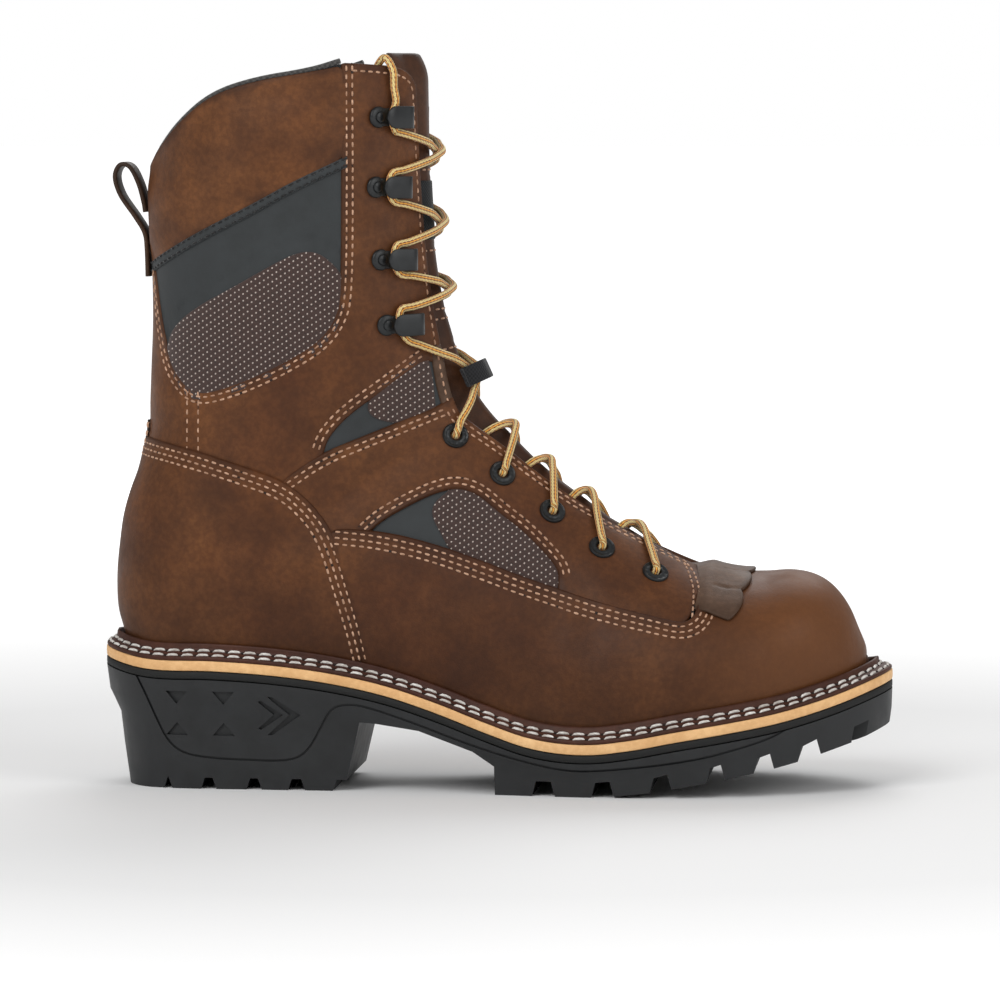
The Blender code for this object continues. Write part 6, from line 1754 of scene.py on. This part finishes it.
def make_welt():
    """Storm welt: a stitched margin that slopes up to a rounded rib against the leather."""
    lean_at = np.linspace(0, 1, 200)
    lean = {}
    for side in (-1, 1):
        foot = sole_edge(lean_at, side, welt_width(lean_at) + UNDER)
        s, r = section_of(foot[:, 0], seat_line(foot[:, 0]) + WELT_RIB)
        end, _ = section_end(s)
        t = np.clip((end - r) / (end - COLUMNS["ridge"](s)), 0, 1)
        wide = np.abs(half_width(s, t, side) + side * COLUMNS["centre"](s))
        fade = np.clip(np.minimum(lean_at, 1 - lean_at) / LEAN_FADE, 0, 1)
        lean[side] = np.clip(wide - np.abs(foot[:, 1]), 0.0, LEAN_LIMIT) * fade + LEAN_TIP * (1 - fade)

    def inset(share, leaning):
        return lambda q, side: welt_width(q) * share - np.interp(q, lean_at, lean[side]) * leaning

    rib = 1 - RIB_WIDTH / WELT_SIDE
    profile = (
        # share of the width, height, share of the lean
        (0.05, 0.0001, 0.0), (0.02, 0.0006, 0.0), (0.03, 0.0013, 0.0), (0.07, 0.0017, 0.0), (0.14, 0.0019, 0.0),
        (0.30, 0.0027, 0.1), (rib - 0.12, 0.0040, 0.3), (rib - 0.05, 0.0050, 0.45), (rib, 0.0060, 0.65),
        (rib + 0.07, 0.0066, 0.85), (rib + 0.14, 0.0067, 0.95), (0.90, 0.0061, 1.1), (0.93, 0.0001, 0.2))
    rings = [(inset(share, leaning), over_seat(height)) for share, height, leaning in profile]
    points, faces = loft(rings)
    new_piece("welt_leather", points, faces, WELT_SKIN, ("welt",))
    rows = []
    for share, height, leaning in ((0.19, 0.0024, 0.05), (0.50, 0.0041, 0.22)):
        q = np.linspace(0, 1, 900)
        both = []
        for side in (-1, 1):
            plan = sole_edge(q, side, inset(share, leaning)(q, side))
            both.append(np.column_stack([plan, seat_line(plan[:, 0]) + height]))
        rows.append(np.concatenate([both[0], both[1][::-1]]))
    parts, hole_shades = [], []
    for number, line in enumerate(rows):
        run = np.r_[0, np.cumsum(np.linalg.norm(np.diff(line, axis=0), axis=1))]
        count = int(run[-1] / WELT_PITCH)
        at = (np.arange(count) + 0.5 * number) * run[-1] / count

        def pick(where):
            return np.column_stack([np.interp(where, run, line[:, k]) for k in range(3)])
        along = pick(at + 0.001) - pick(at - 0.001)
        along /= np.maximum(np.linalg.norm(along, axis=1, keepdims=True), 1e-9)
        up = np.array([0.0, 0.0, 1.0]) - along * along[:, 2:]
        up /= np.linalg.norm(up, axis=1, keepdims=True)
        along = along + 0.10 * np.cross(up, along)
        along /= np.linalg.norm(along, axis=1, keepdims=True)
        parts.append(capsules(pick(at), along, up, WELT_PITCH * 0.90, 0.00060, 0.0008))
        # Painted shade: a dark pit sunk into each needle hole between the welt stitches.
        mid = at + WELT_PITCH / 2
        hole_shades.append(capsules(pick(mid) - up * 0.0005, np.cross(up, along), up, 0.0016, 0.0006, 0.0))
    points, faces = joined(parts)
    new_piece("welt_stitches", points, outward(points, faces), WHITE_THREAD)
    points, faces = joined(hole_shades)
    new_piece("welt_stitch_hole_shade", points, outward(points, faces), NEEDLE_HOLE_SHADE)


def solid(points, faces, name="cutter"):
    """Plain object from points and faces, used in a cut."""
    mesh = bpy.data.meshes.new(name)
    mesh.from_pydata(points.tolist(), [], [face for some in faces for face in some.tolist()])
    work = bmesh.new()
    work.from_mesh(mesh)
    bmesh.ops.remove_doubles(work, verts=work.verts, dist=2e-6)
    bmesh.ops.dissolve_degenerate(work, edges=work.edges, dist=1e-6)
    bmesh.ops.recalc_face_normals(work, faces=work.faces)
    if work.calc_volume(signed=True) < 0:
        bmesh.ops.reverse_faces(work, faces=work.faces)
    work.to_mesh(mesh)
    work.free()
    thing = bpy.data.objects.new(name, mesh)
    bpy.context.scene.collection.objects.link(thing)
    return thing


def prism(outline, low, high):
    """Solid of a side-view outline carried from low to high across the boot."""
    outline = np.asarray(outline, float)
    count = len(outline)
    ends = [np.column_stack([outline[:, 0], np.full(count, y), outline[:, 1]]) for y in (low, high)]
    i = np.arange(count)
    ahead = (i + 1) % count
    return solid(np.concatenate(ends), [np.arange(count)[None], np.arange(2 * count - 1, count - 1, -1)[None],
                                        np.column_stack([i, ahead, ahead + count, i + count])])


def cut(target, other, operation):
    """Boolean of target with other, applied at once."""
    step = target.modifiers.new("cut", "BOOLEAN")
    step.operation = operation
    step.solver = "EXACT"
    step.object = other
    bpy.context.view_layer.update()
    mesh = bpy.data.meshes.new_from_object(target.evaluated_get(bpy.context.evaluated_depsgraph_get()))
    target.modifiers.remove(step)
    target.data = mesh
    bpy.data.objects.remove(other, do_unlink=True)
    return target


def outsole_rings(extra):
    """Rings of the outsole's side from its top to below the floor, drawn in by extra."""
    top = -(MIDSOLE + FOAM + 2 * SEAM_GAP)

    def taper(share):
        def inset(q, side):
            heel = np.clip(1 - q / 0.16, 0, 1)
            back = (HEEL_TAPER_BACK - HEEL_TAPER_SIDE) * heel
            flank = HEEL_TAPER_SIDE + (EDGE_TAPER - HEEL_TAPER_SIDE) * np.clip((q - 0.3) / 0.2, 0, 1)
            return extra + (back + flank) * share
        return inset
    return ((taper(0.0), over_seat(top)), (taper(0.12), lambda x: (seat_line(x) + top) * 0.80),
            (taper(0.55), lambda x: (seat_line(x) + top) * 0.62),
            (taper(0.70), lambda x: (seat_line(x) + top) * 0.36),
            (taper(1.00), lambda x: np.full(np.shape(x), -0.002)))


def tread_height(share):
    """Height of the forefoot lugs' bottoms at a share of the length, never under the floor."""
    return SEAT_HEIGHT * max(float(TREAD_CURVE(share)), 0.0)


def tread_outline():
    """Side view of everything above the outsole's bottom: heel lugs, breast, shank and forefoot lugs."""
    lean = LUG_LEAN * BOOT_LENGTH

    def at(share):
        return HEEL_X + share * BOOT_LENGTH
    path = [(HEEL_X - 0.02, 0.09), (HEEL_X - 0.02, 0.0)]
    for k, (start, end) in enumerate(HEEL_LUGS):
        if k:
            path += [(at(start) - lean, HEEL_LUG_DEPTH), (at(start), 0.0)]
        path += [(at(end), 0.0), (at(end) + lean, HEEL_LUG_DEPTH)]
    path.append((at(HEEL_BREAST), HEEL_LUG_DEPTH))
    path += [(at(row[0]), row[1] * SEAT_HEIGHT) for row in SHANK_LINE]
    for k, (start, end) in enumerate(FORE_LUGS):
        if k:
            path.append((at(start) - lean, tread_height(start) + LUG_DEPTH))
        path.append((at(start), tread_height(start)))
        if end > 1:
            path += [(at(share), tread_height(share)) for share in TOE_TREAD]
        path.append((at(end), tread_height(end)))
        if end < 1:
            path.append((at(end) + lean, tread_height(end) + LUG_DEPTH))
    return path + [(-HEEL_X + 0.02, 0.09)]


GROOVE_LINE = ((0.043, 0.960), (0.052, 0.860), (0.066, 0.700), (0.078, 0.530), (0.092, 0.370), (0.112, 0.275),
               (0.150, 0.243), (0.200, 0.233), (0.240, 0.229), (0.262, 0.265), (0.276, 0.360), (0.288, 0.500),
               (0.300, 0.640), (0.316, 0.680), (0.340, 0.675), (0.400, 0.560), (0.468, 0.406), (0.530, 0.290),
               (0.599, 0.200), (0.653, 0.215), (0.754, 0.290), (0.820, 0.395), (0.856, 0.469), (0.875, 0.540),
               (0.885, 0.640))
GROOVE_WIDTH = 0.0009
GROOVE_DEPTH = 0.0010
MARK_DEPTH = 0.0013
NOTCHES = (
    # corners of each small recess on the heel's side, in shares of the length and of the seat height
    ((0.090, 0.765), (0.118, 0.765), (0.104, 0.665)), ((0.150, 0.765), (0.178, 0.765), (0.164, 0.665)),
    ((0.090, 0.420), (0.118, 0.420), (0.104, 0.520)), ((0.150, 0.420), (0.178, 0.420), (0.164, 0.520)),
    ((0.220, 0.730), (0.226, 0.730), (0.262, 0.590), (0.226, 0.430), (0.220, 0.430), (0.248, 0.590)),
    ((0.208, 0.690), (0.212, 0.700), (0.240, 0.590), (0.212, 0.470), (0.208, 0.480), (0.228, 0.590)))


def make_outsole():
    """Lug outsole: rings cut by the tread's side view, by channels, and by the line and marks on its side."""
    outsole = solid(*loft(outsole_rings(0.0), 150, False), "outsole_rubber")
    cut(outsole, prism(tread_outline(), -BALL_WIDTH, BALL_WIDTH), "INTERSECT")
    line = softened([(HEEL_X + a * BOOT_LENGTH, b * SEAT_HEIGHT) for a, b in GROOVE_LINE], 2)
    along = np.gradient(line, axis=0)
    along /= np.linalg.norm(along, axis=1, keepdims=True)
    square = np.column_stack([-along[:, 1], along[:, 0]]) * GROOVE_WIDTH / 2
    marks = [(np.concatenate([line + square, (line - square)[::-1]]), GROOVE_DEPTH)]
    for notch in NOTCHES:
        marks.append(([(HEEL_X + a * BOOT_LENGTH, b * SEAT_HEIGHT) for a, b in notch], MARK_DEPTH))
    for outline, depth in marks:
        cutter = prism(outline, -BALL_WIDTH, BALL_WIDTH)
        cut(cutter, solid(*loft(outsole_rings(depth), 60, False), "core"), "DIFFERENCE")
        cut(outsole, cutter, "DIFFERENCE")
    fore = [(HEEL_X + row[0] * BOOT_LENGTH, row[1] * SEAT_HEIGHT + LUG_DEPTH) for row in TREAD_LINE[1:]]
    first = HEEL_X + CHANNEL_START * BOOT_LENGTH
    fore = [(first, -0.01), (first, LUG_DEPTH)] + fore + [(-HEEL_X + 0.01, fore[-1][1]), (-HEEL_X + 0.01, -0.01)]
    for share in CHANNEL_CENTRES:
        centre = share * HALF_BALL
        cut(outsole, prism(fore, centre - CHANNEL / 2, centre + CHANNEL / 2), "DIFFERENCE")
    heel_start = HEEL_X + HEEL_LUGS[0][1] * BOOT_LENGTH
    heel_end = HEEL_X + (HEEL_BREAST + 0.01) * BOOT_LENGTH
    heel = [(heel_start, -0.01), (heel_start, HEEL_LUG_DEPTH), (heel_end, HEEL_LUG_DEPTH), (heel_end, -0.01)]
    cut(outsole, prism(heel, -CHANNEL, CHANNEL), "DIFFERENCE")
    outsole.data.materials.clear()
    outsole.data.materials.append(RUBBER)
    outsole.data.polygons.foreach_set("material_index", np.zeros(len(outsole.data.polygons), dtype=np.int32))
    soft = outsole.modifiers.new("soft_edges", "BEVEL")
    soft.width = 0.00045
    soft.segments = 2
    soft.limit_method = "ANGLE"
    soft.angle_limit = math.radians(32)
    outsole.data.shade_smooth()
    outsole.data.set_sharp_from_angle(angle=math.radians(34))
    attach(outsole, "root")
    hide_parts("outsole")


def make_layers():
    """Midsole, foam and footbed."""
    points, faces = loft(slab(-MIDSOLE, 0.0, 0.0004, 0.0001), wrap=False)
    new_piece("midsole_leather", points, faces, TAN, ("midsole",))
    top = -MIDSOLE - SEAM_GAP
    points, faces = loft(slab(top - FOAM, top, 0.0005), wrap=False)
    new_piece("foam_strip", points, faces, FOAM_SKIN, ("foam_layer",))

    def inner(extra):
        return lambda q, side: welt_width(q) + UNDER + WALL + INSOLE_GAP + extra
    rings = ((inner(0.0), over_seat(SEAM_GAP)), (inner(-0.0008), over_seat(0.002)),
             (inner(0.0), over_seat(0.0040)), (inner(0.0012), over_seat(0.0044)), (inner(0.006), over_seat(0.0042)))
    points, faces = loft(rings, wrap=False)
    new_piece("footbed", points, faces, FOOTBED, ("insole",))


# Floor, light and camera
LIGHTS = (
    # name, place, size, power
    ("key_light", (-0.7, -1.5, 1.5), 1.2, 20), ("toe_light", (1.5, -1.0, 0.9), 1.0, 9),
    ("back_light", (0.2, 1.5, 1.4), 1.2, 12),
)


def make_stage():
    """Pale floor, white surroundings, three soft lights and the camera of the photograph."""
    mesh = bpy.data.meshes.new("floor")
    half = 40.0
    corners = [(-half, -half, 0), (half, -half, 0), (half, half, 0), (-half, half, 0)]
    mesh.from_pydata(corners, [], [(0, 1, 2, 3)])
    floor = bpy.data.objects.new("floor", mesh)
    bpy.context.scene.collection.objects.link(floor)
    paint = Nodes("pale_floor", 0.7)
    paint.shader.inputs["Base Color"].default_value = (0.92, 0.92, 0.92, 1.0)
    away = paint.add("VectorMath", {0: paint.where()}, operation="LENGTH").outputs["Value"]
    paint.shader.inputs["Emission Color"].default_value = (1.0, 1.0, 1.0, 1.0)
    paint.put(paint.shader.inputs["Emission Strength"], paint.span(away, 0.35, 1.6, 0.0, 0.75))
    mesh.materials.append(paint.material)
    bpy.context.scene.view_settings.view_transform = "Standard"
    world = bpy.data.worlds.new("studio")
    bpy.context.scene.world = world
    world.use_nodes = True
    tree = world.node_tree
    glow = tree.nodes["Background"]
    glow.inputs["Color"].default_value = (1.0, 1.0, 1.0, 1.0)
    seen = tree.nodes.new("ShaderNodeLightPath")
    level = tree.nodes.new("ShaderNodeMapRange")
    level.inputs["To Min"].default_value = 0.42
    level.inputs["To Max"].default_value = 1.0
    tree.links.new(seen.outputs["Is Camera Ray"], level.inputs["Value"])
    tree.links.new(level.outputs["Result"], glow.inputs["Strength"])
    centre = Vector((0.0, 0.0, 0.14))
    for name, place, size, power in LIGHTS:
        light = bpy.data.lights.new(name, "AREA")
        light.size = size
        light.energy = power
        thing = bpy.data.objects.new(name, light)
        bpy.context.scene.collection.objects.link(thing)
        thing.location = place
        thing.rotation_euler = (centre - Vector(place)).to_track_quat("-Z", "Y").to_euler()
    camera = bpy.data.cameras.new("camera")
    camera.lens = 216
    camera.sensor_width = 36
    camera.clip_start = 0.1
    camera.clip_end = 50
    thing = bpy.data.objects.new("camera", camera)
    bpy.context.scene.collection.objects.link(thing)
    aim = Vector((0.00085, 0.0, 0.1136))
    turn, distance, height = math.radians(5), 2.4, 0.27
    thing.location = (aim.x + math.sin(turn) * distance, -math.cos(turn) * distance, height)
    thing.rotation_euler = (aim - thing.location).to_track_quat("-Z", "Y").to_euler()
    bpy.context.scene.camera = thing


make_stage()
make_lace_ends()
make_wall()
rows = []
for side in (-1, 1):
    rows += make_windows(side)
rows += make_vamp()
make_toe_fill()
rows += make_counter()
for side in (-1, 1):
    rows += make_quarter(side)
    rows += make_shaft(side)
    make_collar(side)
rows += make_tongue_leather()
stitch_rows("leather_stitches", rows, THREAD, holes=NEEDLE_HOLE_SHADE)
band_rows = []
for side in (-1, 1):
    for up in (0.003, 0.013):
        line = traced(raised_rows(HIGH_BAND, up), side)
        band_rows.append((line, 0, SHAFT_TOP + 0.0001))
stitch_rows("band_stitches", band_rows, BLACK_THREAD)
make_kiltie_leather()
make_eyelets()
make_hooks()
make_lace()
make_pull_loop()
make_keeper()
make_welt()
make_layers()
make_outsole()
